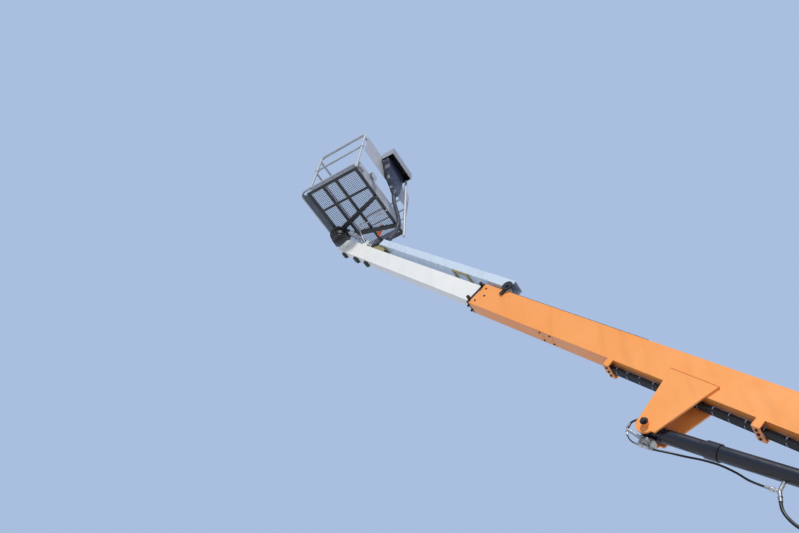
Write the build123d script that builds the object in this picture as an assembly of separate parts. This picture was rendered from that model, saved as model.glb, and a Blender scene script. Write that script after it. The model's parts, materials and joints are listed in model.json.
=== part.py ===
from build123d import *
import math
import os

os.makedirs("parts", exist_ok=True)

# Self-propelled articulating boom lift, millimetres, +X towards the basket, +Y left, +Z up.
# Every length below is in machine coordinates: X = 0 is the slewing axis and Z = 0 the ground.

# Ground line, wheels and axles
TYRE_R = 420.0
TYRE_W = 280.0
RIM_R = 226.0
RIM_BORE = 36.0
WHEEL_Y = 850.0
AXLE_X = 1000.0
AXLE_Z = TYRE_R
SPINDLE_R = RIM_BORE - 0.5
SPINDLE_END = WHEEL_Y + 35.0
KINGPIN_Y = 610.0
LUG_COUNT = 14
LUG_DEPTH = 22.0
LUG_W = 42.0
LUG_SLANT = 14.0
SIDEWALL_R = 340.0

# Chassis hull
HULL_X = 1330.0
HULL_Y = 380.0
HULL_Z0 = AXLE_Z + 50.0
HULL_Z1 = HULL_Z0 + 230.0
HULL_WALL = 12.0
TIE_BORE_R = 22.0
TIE_X = HULL_X + 70.0
TIE_Y = 280.0
TIE_Z = HULL_Z1 - 60.0
TIE_T = 24.0

# Turret
PLATE_Z0 = HULL_Z1 + 45.0
PLATE_Z1 = PLATE_Z0 + 30.0
PLATE_REACH = AXLE_X - 100.0
TYRE_GAP = 22.0
DECK_Z0 = 2 * TYRE_R + TYRE_GAP
DECK_Z1 = DECK_Z0 + 18.0
DECK_X0 = -1130.0
DECK_X1 = 760.0
COVER_Y0 = 322.0
COVER_Y1 = 950.0
COVER_TOP = DECK_Z1 + 550.0
TAIL_X = -1560.0
TAIL_FRONT_X = -1185.0
TAIL_CORNER_X = TAIL_FRONT_X - 145.0
TAIL_HALF_W = 940.0
TAIL_CHAMFER = 22.0

# Lateral lanes of the riser: inner plate, arm, outer plate, link
LANE_IN = (138.0, 158.0)
LANE_ARM = (165.0, 245.0)
LANE_OUT = (252.0, 272.0)
LANE_LINK = (280.0, 298.0)

# Riser pivots, (x, z)
STAGE_H = 240.0
PIV_O = (-800.0, PLATE_Z1 + 225.0)
PIV_K1 = (850.0, PIV_O[1])
PIV_K2 = (850.0, PIV_K1[1] + STAGE_H)
PIV_U = (-1000.0, PIV_K2[1])
LOW_LINK_OFF = (-70.0, 100.0)
UP_LINK_OFF = (70.0, 100.0)
LOW_ARM_H = 150.0
UP_ARM_H = 140.0
PIN_R = 24.0
PIN_GAP = 0.5
RAM_DROP = 150.0
RAM_Z = PIV_O[1] - RAM_DROP
RAM_FOOT_X = 480.0
RAM_R = 41.0

# Main boom, side view measured from its rear pivot: s runs along the boom, t square to it
BOOM_ANGLE = 49.5
UPRIGHT_H = 910.0
BOOM_B = (PIV_U[0], PIV_U[1] + UPRIGHT_H)
OUTER_S0 = 560.0
OUTER_S1 = 4540.0
OUTER_TOP = 8.0
OUTER_H = 262.0
OUTER_W = 150.0
OUTER_WALL = 8.0
CHEEK_T = 15.0
FLY_S0 = 3500.0
FLY_S1 = 7744.0
SLIDE_GAP = 20.0
SIDE_GAP = 11.0
FLY_TOP = OUTER_TOP - OUTER_WALL - SLIDE_GAP
FLY_H = OUTER_H - 2 * (OUTER_WALL + SLIDE_GAP)
FLY_W = OUTER_W - 2 * (OUTER_WALL + SIDE_GAP)
FLY_WALL = 6.0
DUCT_S0 = 4215.0
DUCT_S1 = 6900.0
DUCT_T0 = 50.0
DUCT_T1 = 145.0
DUCT_Y0 = -65.0
DUCT_Y1 = 75.0
DUCT_WALL = 4.0
DUCT_STRAPS = (4921.0, 5181.0)
STRAP_DROP = 16.0
GUSSET_PIN = (2087.0, OUTER_TOP - OUTER_H - 350.0)
GUSSET_T = 14.0
GUSSET_EYE_R = 70.0
RAM_TAIL = (-336.0, -238.0)
LIFT_R = 50.0
LIFT_EYE_R = 60.0
LIFT_ROD_R = 30.0
HOSE_Y = 18.0
VALVE_FRONT = (-150.0, 42.0)
VALVE_LOW = (-10.0, 124.0, 62.0)
TEE_AT = 867.0
TEE_DROP = 115.0
PORT_AT = 1500.0
PORT_DROP = 90.0
TIP_PIVOT = (FLY_S1 - 44.0, FLY_TOP - 42.0)
LEVEL_FOOT = (TIP_PIVOT[0] - 408.0, TIP_PIVOT[1] + 108.0)
LEVEL_HEAD = (TIP_PIVOT[0] + 340.0, TIP_PIVOT[1] + 190.0)

LOOP_DROP = 62.0
LOOP_T = 8.0
HOSE_R = 11.5
HOSE_GAP = 0.3
HOSE_S0 = 1040.0
HOSE_S1 = 2724.0


# The boom's tip pivot in machine coordinates
BOOM_COS = math.cos(math.radians(BOOM_ANGLE))
BOOM_SIN = math.sin(math.radians(BOOM_ANGLE))
TIP_X = BOOM_B[0] + TIP_PIVOT[0] * BOOM_COS - TIP_PIVOT[1] * BOOM_SIN
TIP_Z = BOOM_B[1] + TIP_PIVOT[0] * BOOM_SIN + TIP_PIVOT[1] * BOOM_COS

# Basket, placed from the tip pivot to the whole millimetre
ROTATOR_X = round(TIP_X + 242.0)
ROTATOR_Z0 = round(TIP_Z + 325.0)
ROTATOR_R = 112.0
FLOOR_Z = ROTATOR_Z0 + 180.0
RAIL_H = 1100.0
RAIL_Z = FLOOR_Z + RAIL_H
POST_X = ROTATOR_X + 30.0
REAR_X = POST_X - 815.0
NOSE_X = POST_X + 190.0
NEAR_Y = 760.0
FAR_Y = -440.0
RAIL_R = 19.0
SKIRT_Z = FLOOR_Z + 150.0
SKIRT_R = 15.0
SKIRT_BEND = 100.0
HOOP_BEND = 75.0
BAR_Z = FLOOR_Z + 676.0
BAR_R = 14.0
CROSS_Z = RAIL_Z - 120.0
CROSS_R = 16.0
MESH_T = 4.0
KICK_T = 4.0
KICK_REAR_Z = FLOOR_Z + 310.0
SEAT_GAP = 0.3
RIM_TUBE = 30.0
BEAM_Z0 = ROTATOR_Z0 + 110.0
RIM_Z0 = FLOOR_Z - RIM_TUBE
CONSOLE_X0 = REAR_X - 243.0
CONSOLE_X1 = REAR_X - 35.0
CONSOLE_Y0 = -160.0
CONSOLE_Y1 = 350.0
CONSOLE_H = 160.0
CONSOLE_TOP = RAIL_Z - 10.0
CONSOLE_WALL = 10.0
BOOT_LOW_Z = FLOOR_Z + 230.0
CONDUIT_R = 29.0
CONDUIT_SIDE = -139.0

# The origin of the finished parts: middle of the box from the tail to the basket's nose, on the ground
ORIGIN_X = (TAIL_X + NOSE_X + SKIRT_R) / 2


def save(shape, node):
    solids = shape.solids()
    moved = Compound(children=[s.moved(Location((-ORIGIN_X, 0, 0))) for s in solids])
    export_step(moved, "parts/" + node + ".step")
    print(node, len(solids), round(sum(s.volume for s in solids) / 1e6, 3), "dm3")


def block(x0, x1, y0, y1, z0, z1):
    return Pos((x0 + x1) / 2, (y0 + y1) / 2, (z0 + z1) / 2) * Box(x1 - x0, y1 - y0, z1 - z0)


def rod_y(x, z, y0, y1, radius):
    return Pos(x, (y0 + y1) / 2, z) * Rot(90, 0, 0) * Cylinder(radius, y1 - y0)


def rod_z(x, y, z0, z1, radius):
    return Pos(x, y, (z0 + z1) / 2) * Cylinder(radius, z1 - z0)


def rod_x(y, z, x0, x1, radius):
    return Pos((x0 + x1) / 2, y, z) * Rot(0, 90, 0) * Cylinder(radius, x1 - x0)


def plate(points, y0, y1):
    """A flat plate whose outline is drawn in the side view, between two lateral positions."""
    outline = make_face(Polyline(*points, close=True))
    solid = extrude(outline, y1 - y0)
    return Pos(0, y1, 0) * Rot(90, 0, 0) * solid


def slab(points, z0, z1):
    """A flat plate whose outline is drawn in the plan view, between two heights."""
    return Pos(0, 0, z0) * extrude(make_face(Polyline(*points, close=True)), z1 - z0)


def between(p, q, y, radius, start=0.0, end=0.0):
    """A round bar in the side view from p to q, shortened at either end."""
    dx = q[0] - p[0]
    dz = q[1] - p[1]
    length = math.hypot(dx, dz)
    mid = (start + length - end) / 2
    cx = p[0] + dx * mid / length
    cz = p[1] + dz * mid / length
    tilt = math.degrees(math.atan2(dz, dx))
    return Pos(cx, y, cz) * Rot(0, -tilt, 0) * Rot(0, 90, 0) * Cylinder(radius, length - start - end)


def beam_between(p, q, y0, y1, height):
    """A rectangular bar in the side view from p to q."""
    dx = q[0] - p[0]
    dz = q[1] - p[1]
    length = math.hypot(dx, dz)
    tilt = math.degrees(math.atan2(dz, dx))
    centre = Pos((p[0] + q[0]) / 2, (y0 + y1) / 2, (p[1] + q[1]) / 2)
    return centre * Rot(0, -tilt, 0) * Box(length, y1 - y0, height)


def boom_place(shape):
    """Takes a shape from boom coordinates (s along X, t along Z) to the machine."""
    return Pos(BOOM_B[0], 0, BOOM_B[1]) * Rot(0, -BOOM_ANGLE, 0) * shape


def boom_point(st):
    a = math.radians(BOOM_ANGLE)
    x = BOOM_B[0] + st[0] * math.cos(a) - st[1] * math.sin(a)
    z = BOOM_B[1] + st[0] * math.sin(a) + st[1] * math.cos(a)
    return (x, z)


def both_sides(shape):
    return shape + mirror(shape, about=Plane.XZ)


def offset_point(p, d):
    return (p[0] + d[0], p[1] + d[1])


def pipe(points, radii, outer, inner=0.0):
    """A round tube along straight runs joined by tangent arcs."""
    if radii:
        path = FilletPolyline(*points, radius=radii)
    else:
        path = Polyline(*points)
    start = path @ 0
    heading = path % 0
    section = Plane(origin=start, z_dir=heading) * Circle(outer)
    if inner > 0:
        section -= Plane(origin=start, z_dir=heading) * Circle(inner)
    return sweep(section, path=path)


def hose(points, radius):
    """A round hose along a route of chosen points, each bend as wide as its two runs allow."""
    route = [Vector(*p) for p in points]
    bends = []
    for a, b, c in zip(route, route[1:], route[2:]):
        turn = math.radians((b - a).get_angle(c - b))
        shorter = min((b - a).length, (c - b).length)
        bends.append(0.45 * shorter / math.tan(turn / 2))
    print("hose radius", radius, "bend radii", [round(bend) for bend in bends])
    return pipe(points, bends, radius)


# Wheels: a deep-dished rim with hand holes, and a lugged tyre on it
def make_rim():
    half = TYRE_W / 2 - 22
    profile = [
        (RIM_BORE, 20), (80, 20), (80, 62), (RIM_R - 46, 62), (RIM_R - 30, half - 6),
        (RIM_R + 14, half), (RIM_R + 14, half - 12), (RIM_R - 8, half - 16),
        (RIM_R - 8, 16 - half), (RIM_R + 14, 12 - half), (RIM_R + 14, -half),
        (RIM_R - 24, 6 - half), (RIM_R - 24, 34), (RIM_R - 56, 46),
        (95, 46), (95, -30), (RIM_BORE, -30),
    ]
    face = make_face(Polyline(*[(r, y, 0) for r, y in profile], close=True))
    rim = revolve(face, axis=Axis.Y)
    holes = [Rot(0, k * 60, 0) * rod_y(136, 0, 30, 80, 24) for k in range(6)]
    return rim - holes


def ring_section(apothem, y):
    """A many-sided outline round the wheel's axis, with one flat under each lug."""
    flats = 2 * LUG_COUNT
    outline = RegularPolygon(apothem, flats, major_radius=False, rotation=180 / flats)
    return Plane(origin=(0, y, 0), x_dir=(1, 0, 0), z_dir=(0, -1, 0)) * outline


def ring_loft(sections):
    return loft([ring_section(apothem, y).face() for apothem, y in sections], ruled=True)


def make_tyre():
    w = TYRE_W / 2
    base = TYRE_R - LUG_DEPTH
    bead = RIM_R - 7.7
    lip = RIM_R + 15
    # apothem and lateral place of each section, from one sidewall to the other
    crown = [(SIDEWALL_R, -w), (base - 20, 14 - w), (base, 40 - w)]
    crown += [(apothem, -y) for apothem, y in reversed(crown)]
    tyre = ring_loft(crown) - ring_loft([(bead, -w), (bead, w)])
    for side in (-1, 1):
        tyre -= ring_loft([(lip, side * (w - 38)), (SIDEWALL_R - 24, side * (w + 0.01))])
    bar_in = base - 26
    for k in range(LUG_COUNT):
        for side, phase in ((1, 0.0), (-1, 0.5)):
            bar = Pos((bar_in + TYRE_R) / 2, side * (w / 2 - 4), 0) * Rot(side * LUG_SLANT, 0, 0)
            bar = bar * Box(TYRE_R - bar_in, w - 12, LUG_W)
            tyre += Rot(0, (k + phase) * 360 / LUG_COUNT, 0) * bar
    return tyre


# Chassis, axles and steering
def make_chassis():
    side = [
        (-HULL_X, HULL_Z1), (HULL_X, HULL_Z1), (HULL_X, HULL_Z0 + 90), (HULL_X - 110, HULL_Z0),
        (-HULL_X + 110, HULL_Z0), (-HULL_X, HULL_Z0 + 90),
    ]
    hull = plate(side, -HULL_Y, HULL_Y)
    inner_y = HULL_Y - HULL_WALL
    hull -= block(-HULL_X + 60, HULL_X - 60, -inner_y, inner_y, HULL_Z0 - 5, HULL_Z1 - 20)
    hull += rod_z(0, 0, HULL_Z0 + 10, HULL_Z1 - 10, 330) - rod_z(0, 0, HULL_Z0, HULL_Z1 - 30, 300)
    for x in (-AXLE_X, AXLE_X):
        hull += block(x - 80, x + 80, -HULL_Y, HULL_Y, HULL_Z0, HULL_Z0 + 60)
    half_t = TIE_T / 2
    outer = 46.0
    for sx in (-1, 1):
        for y in (-TIE_Y, TIE_Y):
            x0, x1 = sorted((sx * (HULL_X - 20), sx * TIE_X))
            ear = block(x0, x1, y - half_t, y + half_t, TIE_Z - outer, TIE_Z + outer)
            ear += rod_y(sx * TIE_X, TIE_Z, y - half_t, y + half_t, outer)
            hull += ear - rod_y(sx * TIE_X, TIE_Z, y - TIE_T, y + TIE_T, TIE_BORE_R)
    return hull


def make_rear_axle():
    beam = block(-AXLE_X - 70, -AXLE_X + 70, -600, 600, AXLE_Z - 70, AXLE_Z + 50)
    hub = rod_y(-AXLE_X, AXLE_Z, 600, 760, 96) + rod_y(-AXLE_X, AXLE_Z, 740, SPINDLE_END, SPINDLE_R)
    hubs = both_sides(hub)
    return beam + hubs


def make_front_axle():
    beam = block(AXLE_X - 60, AXLE_X + 60, -520, 520, AXLE_Z - 70, AXLE_Z + 50)
    yoke = block(AXLE_X - 45, AXLE_X + 45, 500, KINGPIN_Y + 40, AXLE_Z - 125, AXLE_Z - 95)
    yoke += block(AXLE_X - 45, AXLE_X + 45, 500, KINGPIN_Y + 40, AXLE_Z + 95, AXLE_Z + 125)
    yoke += block(AXLE_X - 45, AXLE_X + 45, 480, 530, AXLE_Z - 125, AXLE_Z + 125)
    yoke += rod_z(AXLE_X, KINGPIN_Y, AXLE_Z - 135, AXLE_Z + 135, 20)
    return beam + both_sides(yoke)


def make_knuckle(side):
    body = rod_z(AXLE_X, KINGPIN_Y, AXLE_Z - 90, AXLE_Z + 90, 46)
    body += rod_y(AXLE_X, AXLE_Z, KINGPIN_Y, 760, 60)
    body += rod_y(AXLE_X, AXLE_Z, 740, SPINDLE_END, SPINDLE_R)
    body += block(AXLE_X - 200, AXLE_X, KINGPIN_Y - 22, KINGPIN_Y + 22, AXLE_Z - 88, AXLE_Z - 64)
    body += rod_z(AXLE_X - 190, KINGPIN_Y, AXLE_Z - 88, AXLE_Z - 64, 30)
    body += rod_z(AXLE_X - 190, KINGPIN_Y, AXLE_Z - 88, AXLE_Z - 26, 12)
    body -= rod_z(AXLE_X, KINGPIN_Y, AXLE_Z - 100, AXLE_Z + 100, 20.5)
    if side < 0:
        body = mirror(body, about=Plane.XZ)
    return body


def make_tie_rod():
    x = AXLE_X - 190
    z0 = AXLE_Z - 58
    z1 = AXLE_Z - 34
    bar = rod_y(x, (z0 + z1) / 2, -KINGPIN_Y + 20, KINGPIN_Y - 20, 9)
    for sy in (-1, 1):
        bar += rod_z(x, sy * KINGPIN_Y, z0, z1, 27)
    for sy in (-1, 1):
        bar -= rod_z(x, sy * KINGPIN_Y, z0 - 5, z1 + 5, 12.5)
    return bar


def make_slew_ring():
    ring = rod_z(0, 0, HULL_Z1, PLATE_Z0 - 0.5, 420) - rod_z(0, 0, HULL_Z1 - 5, PLATE_Z0 + 5, 330)
    return ring - (rod_z(0, 0, HULL_Z1 + 14, PLATE_Z0 - 14, 430) - rod_z(0, 0, HULL_Z1, PLATE_Z0, 404))


# Turret: base plate, and the plates that carry the riser and the counterweight
def around(pivot, offsets):
    """Outline points of the side view given as (x, z) distances from a pivot."""
    return [(pivot[0] + dx, pivot[1] + dz) for dx, dz in offsets]


def make_turret():
    # Below the decks every plate stays inside PLATE_REACH, so that it turns clear of the tyres
    tail = TAIL_FRONT_X + 35.0
    reach = PLATE_REACH
    plan = [(-reach, -300), (-reach, 300), (-500, 300), (-300, 440), (300, 440), (460, 300), (640, 300)]
    plan += [(640, -300), (460, -300), (300, -440), (-300, -440), (-500, -300)]
    frame = slab(plan, PLATE_Z0, PLATE_Z1)
    low = [(tail, DECK_Z0), (-reach, DECK_Z0), (20 - reach, PLATE_Z0)]
    front = [(620, PLATE_Z0), (620, DECK_Z1 + 20), (520, DECK_Z1 + 50), (-480, DECK_Z1 + 50)]
    side = low + front + around(PIV_O, [(100, 90), (70, 165), (-160, 165)]) + [(tail, PIV_O[1] + 60)]
    top = around(PIV_O, [(160, -255), (110, 10), (60, 75), (-60, 75), (-300, -40)])
    rear = [(tail + 50, DECK_Z0), (-reach, DECK_Z0), (20 - reach, PLATE_Z0)] + top
    half = plate(side, LANE_OUT[0], LANE_OUT[1])
    half += plate(rear, LANE_IN[0], LANE_IN[1])
    half += block(-700, 500, 430, 446, PLATE_Z1 - 20, DECK_Z0)
    for x in (-420, 380):
        half += block(x - 8, x + 8, LANE_OUT[0], 640, PLATE_Z1 - 20, DECK_Z0)
    half += rod_y(PIV_O[0], PIV_O[1], LANE_IN[0] - 12, LANE_OUT[1] + 6, PIN_R)
    link = offset_point(PIV_O, LOW_LINK_OFF)
    half += rod_y(link[0], link[1], LANE_OUT[0], LANE_LINK[1] + 10, 16)
    foot_top = RAM_Z + 32.0
    for y in (170, 240):
        foot = [(RAM_FOOT_X - 60, PLATE_Z0 + 10), (RAM_FOOT_X + 60, PLATE_Z0 + 10)]
        foot += [(RAM_FOOT_X + 34, foot_top), (RAM_FOOT_X - 34, foot_top)]
        half += plate(foot, y - 7, y + 7)
    half += rod_y(RAM_FOOT_X, RAM_Z, 160, 250, 18)
    frame += both_sides(half)
    frame += block(tail, tail + 20, -LANE_OUT[1], LANE_OUT[1], DECK_Z0, PIV_O[1] + 60)
    return frame


def make_decks():
    """The two decks under the covers, outboard of the turret's side plates."""
    return both_sides(block(DECK_X0, DECK_X1 - 160, LANE_OUT[1], COVER_Y1 - 20, DECK_Z0, DECK_Z1))


def make_counterweight():
    half = TAIL_HALF_W
    plan = [(TAIL_FRONT_X, -half), (TAIL_FRONT_X, half), (TAIL_CORNER_X, half)]
    arc = ThreePointArc((TAIL_CORNER_X, half), (TAIL_X, 0), (TAIL_CORNER_X, -half))
    edges = Polyline(*plan) + arc + Line((TAIL_CORNER_X, -half), (TAIL_FRONT_X, -half))
    body = Pos(0, 0, DECK_Z1 - 10) * extrude(make_face(edges), COVER_TOP - DECK_Z1 + 10)
    notch_z = PIV_O[1] + 120.0
    body -= block(TAIL_FRONT_X - 120, TAIL_FRONT_X + 10, -300, 300, notch_z, COVER_TOP + 10)
    body = chamfer(body.edges().filter_by(Plane.XY).group_by(Axis.Z)[-1], TAIL_CHAMFER)
    body += block(TAIL_FRONT_X - 30, TAIL_FRONT_X + 35, -240, 240, DECK_Z1 - 10, PIV_O[1] + 50)
    return body


def cover_outline(inset):
    x0 = DECK_X0 + inset
    x1 = DECK_X1 - inset
    return [
        (x0, DECK_Z1), (x1, DECK_Z1), (x1, COVER_TOP - 250 - inset / 2), (x1 - 170, COVER_TOP - inset),
        (x0 + 30, COVER_TOP - inset), (x0, COVER_TOP - 60 - inset),
    ]


DOOR_X0 = DECK_X0 + 90.0
DOOR_X1 = DECK_X1 - 330.0
DOOR_Z0 = DECK_Z1 + 40.0
DOOR_Z1 = COVER_TOP - 70.0
HINGE_Y = COVER_Y1 + 12.0
HINGE_Z = DOOR_Z1 - 14.0
HINGE_XS = (DOOR_X0 + 260.0, DOOR_X1 - 260.0)
HINGE_HALF = 40.0
HINGE_PIN_R = 4.0


def make_cover(side):
    shell = plate(cover_outline(0), COVER_Y0, COVER_Y1 - 6)
    shell -= plate(cover_outline(8), COVER_Y0 + 8, COVER_Y1 - 14)
    shell -= block(DECK_X0 + 20, DECK_X1 - 40, COVER_Y0 + 20, COVER_Y1 - 30, DECK_Z1 - 10, DECK_Z1 + 12)
    shell -= block(DOOR_X0, DOOR_X1, COVER_Y1 - 30, COVER_Y1 + 10, DOOR_Z0, DOOR_Z1)
    for k in range(6):
        z = DECK_Z1 + 60 + 38 * k
        shell -= block(DECK_X1 - 20, DECK_X1 + 10, COVER_Y0 + 130, COVER_Y1 - 150, z, z + 16)
    for x in HINGE_XS:
        shell += rod_x(HINGE_Y, HINGE_Z, x - HINGE_HALF - 8, x + HINGE_HALF + 8, HINGE_PIN_R)
        for x0 in (x - HINGE_HALF - 10, x + HINGE_HALF + 2):
            shell += block(x0, x0 + 8, HINGE_Y - 7, HINGE_Y + 7, HINGE_Z - 7, DOOR_Z1 + 14)
            shell += block(x0, x0 + 8, COVER_Y1 - 8, HINGE_Y + 7, DOOR_Z1 + 2, DOOR_Z1 + 14)
    if side < 0:
        shell = mirror(shell, about=Plane.XZ)
    return shell


def make_door(side):
    gap = 6.0
    leaf = block(DOOR_X0 + gap, DOOR_X1 - gap, COVER_Y1 - 14, COVER_Y1, DOOR_Z0 + gap, DOOR_Z1 - gap)
    leaf = fillet(leaf.edges().filter_by(Axis.Y), 30)
    for k in range(7):
        z = DOOR_Z0 + 60 + 34 * k
        leaf -= block(DOOR_X0 + 90, DOOR_X0 + 420, COVER_Y1 - 20, COVER_Y1 + 5, z, z + 14)
    leaf += block(DOOR_X1 - 330, DOOR_X1 - 210, COVER_Y1 - 2, COVER_Y1 + 20, DOOR_Z0 + 70, DOOR_Z0 + 100)
    for x in HINGE_XS:
        leaf += block(x - HINGE_HALF, x + HINGE_HALF, COVER_Y1 - 2, HINGE_Y, HINGE_Z - 24, HINGE_Z)
        leaf += rod_x(HINGE_Y, HINGE_Z, x - HINGE_HALF, x + HINGE_HALF, 8)
    for x in HINGE_XS:
        leaf -= rod_x(HINGE_Y, HINGE_Z, x - HINGE_HALF - 5, x + HINGE_HALF + 5, HINGE_PIN_R + PIN_GAP)
    if side < 0:
        leaf = mirror(leaf, about=Plane.XZ)
    return leaf


def make_engine():
    body = block(-520, 60, -740, -440, DECK_Z1, DECK_Z1 + 380)
    return body + rod_x(-590, DECK_Z1 + 240, -640, -510, 120)


def make_tanks():
    top = DECK_Z1 + 360.0
    return block(-760, 250, 420, 820, DECK_Z1, top) + rod_z(-300, 620, top, top + 60, 60)


# Riser: twin arms, their links, the front knuckle and the upright that carries the boom
def arm_pair(p, q, height, eye_r):
    half = beam_between(p, q, LANE_ARM[0], LANE_ARM[1], height)
    for c in (p, q):
        half += rod_y(c[0], c[1], LANE_ARM[0], LANE_ARM[1], eye_r)
    for c in (p, q):
        half -= rod_y(c[0], c[1], LANE_ARM[0] - 5, LANE_ARM[1] + 5, PIN_R + PIN_GAP)
    return half


def make_lower_arm():
    half = arm_pair(PIV_O, PIV_K1, LOW_ARM_H, LOW_ARM_H / 2)
    crank_x = PIV_O[0]
    mid = (LANE_ARM[0] + LANE_ARM[1]) / 2
    for y in (mid - 34, mid + 34):
        web = [(crank_x - 34, RAM_Z), (crank_x + 34, RAM_Z), (crank_x + 60, PIV_O[1] - 70)]
        web += [(crank_x - 60, PIV_O[1] - 50)]
        lug = plate(web, y - 6, y + 6) + rod_y(crank_x, RAM_Z, y - 6, y + 6, 34)
        half += lug
    arm = both_sides(half)
    tie = block(-500, -380, -LANE_ARM[0] - 5, LANE_ARM[0] + 5, PIV_O[1] - 65, PIV_O[1] + 5)
    return arm + tie


def make_links(p, q, off):
    a = offset_point(p, off)
    b = offset_point(q, off)
    bar = beam_between(a, b, LANE_LINK[0], LANE_LINK[1], 52)
    for c in (a, b):
        bar += rod_y(c[0], c[1], LANE_LINK[0], LANE_LINK[1], 34)
    for c in (a, b):
        bar -= rod_y(c[0], c[1], LANE_LINK[0] - 5, LANE_LINK[1] + 5, 16 + PIN_GAP)
    return both_sides(bar)


def make_riser_knuckle():
    x, z = PIV_K1
    low = around(PIV_K1, [(-90, -40), (-50, -95), (190, -95), (210, -40)])
    high = around(PIV_K2, [(160, 10), (120, 130), (40, 145), (-80, 40), (-115, -120)])
    half = plate(low + high, LANE_OUT[0], LANE_OUT[1])
    inner = around(PIV_K1, [(-75, -40), (-40, -80), (190, -80), (200, 0)])
    inner += around(PIV_K2, [(90, 50), (0, 70), (-80, 10)])
    half += plate(inner, LANE_IN[0], LANE_IN[1])
    half += block(x + 115, x + 150, LANE_IN[0], LANE_OUT[1], z - 40, z + 160)
    for c in (PIV_K1, PIV_K2):
        half += rod_y(c[0], c[1], LANE_IN[0] - 6, LANE_OUT[1] + 4, PIN_R)
    for p, off in ((PIV_K1, LOW_LINK_OFF), (PIV_K2, UP_LINK_OFF)):
        c = offset_point(p, off)
        half += rod_y(c[0], c[1], LANE_OUT[0], LANE_LINK[1] + 10, 16)
    return both_sides(half) + rod_y(x + 155, z - 25, -LANE_IN[1], LANE_IN[1], 38)


def make_upper_arm():
    half = arm_pair(PIV_U, PIV_K2, UP_ARM_H, UP_ARM_H / 2)
    z = PIV_U[1]
    return both_sides(half) + block(-620, -520, -LANE_ARM[0] - 5, LANE_ARM[0] + 5, z - 50, z + 20)


def make_upright():
    bx, bz = BOOM_B
    ux, uz = PIV_U
    foot = around(PIV_U, [(-165, 160), (-85, -60), (65, -60), (100, 60)])
    head = around(BOOM_B, [(100, -50), (75, 85), (0, 115), (-80, 85), (-150, -100)])
    sleeve = around(PIV_U, [(-80, -75), (100, -75), (120, 140), (95, 520), (-120, 520), (-150, 160)])
    half = plate(foot + head, LANE_IN[0], LANE_IN[1])
    half += plate(sleeve, LANE_OUT[0], LANE_OUT[1])
    half += block(ux - 140, ux - 124, LANE_IN[0], LANE_OUT[1], uz + 200, uz + 500)
    half += block(ux - 120, ux + 80, LANE_IN[0], LANE_OUT[1], uz + 200, uz + 216)
    half += block(ux - 110, ux + 75, LANE_IN[0], LANE_OUT[1], uz + 460, uz + 476)
    half += rod_y(PIV_U[0], PIV_U[1], LANE_IN[0] - 6, LANE_OUT[1] + 4, PIN_R)
    link = offset_point(PIV_U, UP_LINK_OFF)
    half += rod_y(link[0], link[1], LANE_OUT[0], LANE_LINK[1] + 10, 16)
    half += rod_y(bx, bz, LANE_IN[0] - 4, LANE_IN[1] + 22, 78)
    tail = boom_point(RAM_TAIL)
    lug = [(tail[0] - 60, tail[1] + 90), (tail[0] - 110, tail[1] + 90), (tail[0] - 110, tail[1] - 110)]
    lug += [(tail[0] - 30, tail[1] - 52), (tail[0] + 42, tail[1] - 30), (tail[0] + 42, tail[1] + 30)]
    half += plate(lug, 34, 54)
    half += rod_y(tail[0], tail[1], 34, 66, 34)
    frame = both_sides(half)
    frame += block(ux - 160, ux - 140, -LANE_IN[1], LANE_IN[1], uz + 180, bz - 120)
    frame += rod_y(bx, bz, -LANE_IN[1] - 30, LANE_IN[1] + 30, 34.5)
    return frame


def make_riser_barrels():
    mid = (LANE_ARM[0] + LANE_ARM[1]) / 2
    half = rod_y(RAM_FOOT_X, RAM_Z, mid - 24, mid + 24, 34)
    half += rod_x(mid, RAM_Z, RAM_FOOT_X - 90, RAM_FOOT_X, 21)
    half += rod_x(mid, RAM_Z, -260, RAM_FOOT_X - 75, RAM_R)
    half -= rod_y(RAM_FOOT_X, RAM_Z, mid - 30, mid + 30, 18.5)
    half -= rod_x(mid, RAM_Z, -270, RAM_FOOT_X - 120, 23)
    return both_sides(half)


def make_riser_rods():
    mid = (LANE_ARM[0] + LANE_ARM[1]) / 2
    half = rod_x(mid, RAM_Z, PIV_O[0] + 20, 200, 22)
    half += rod_y(PIV_O[0], RAM_Z, mid - 22, mid + 22, 32)
    return both_sides(half)


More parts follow.
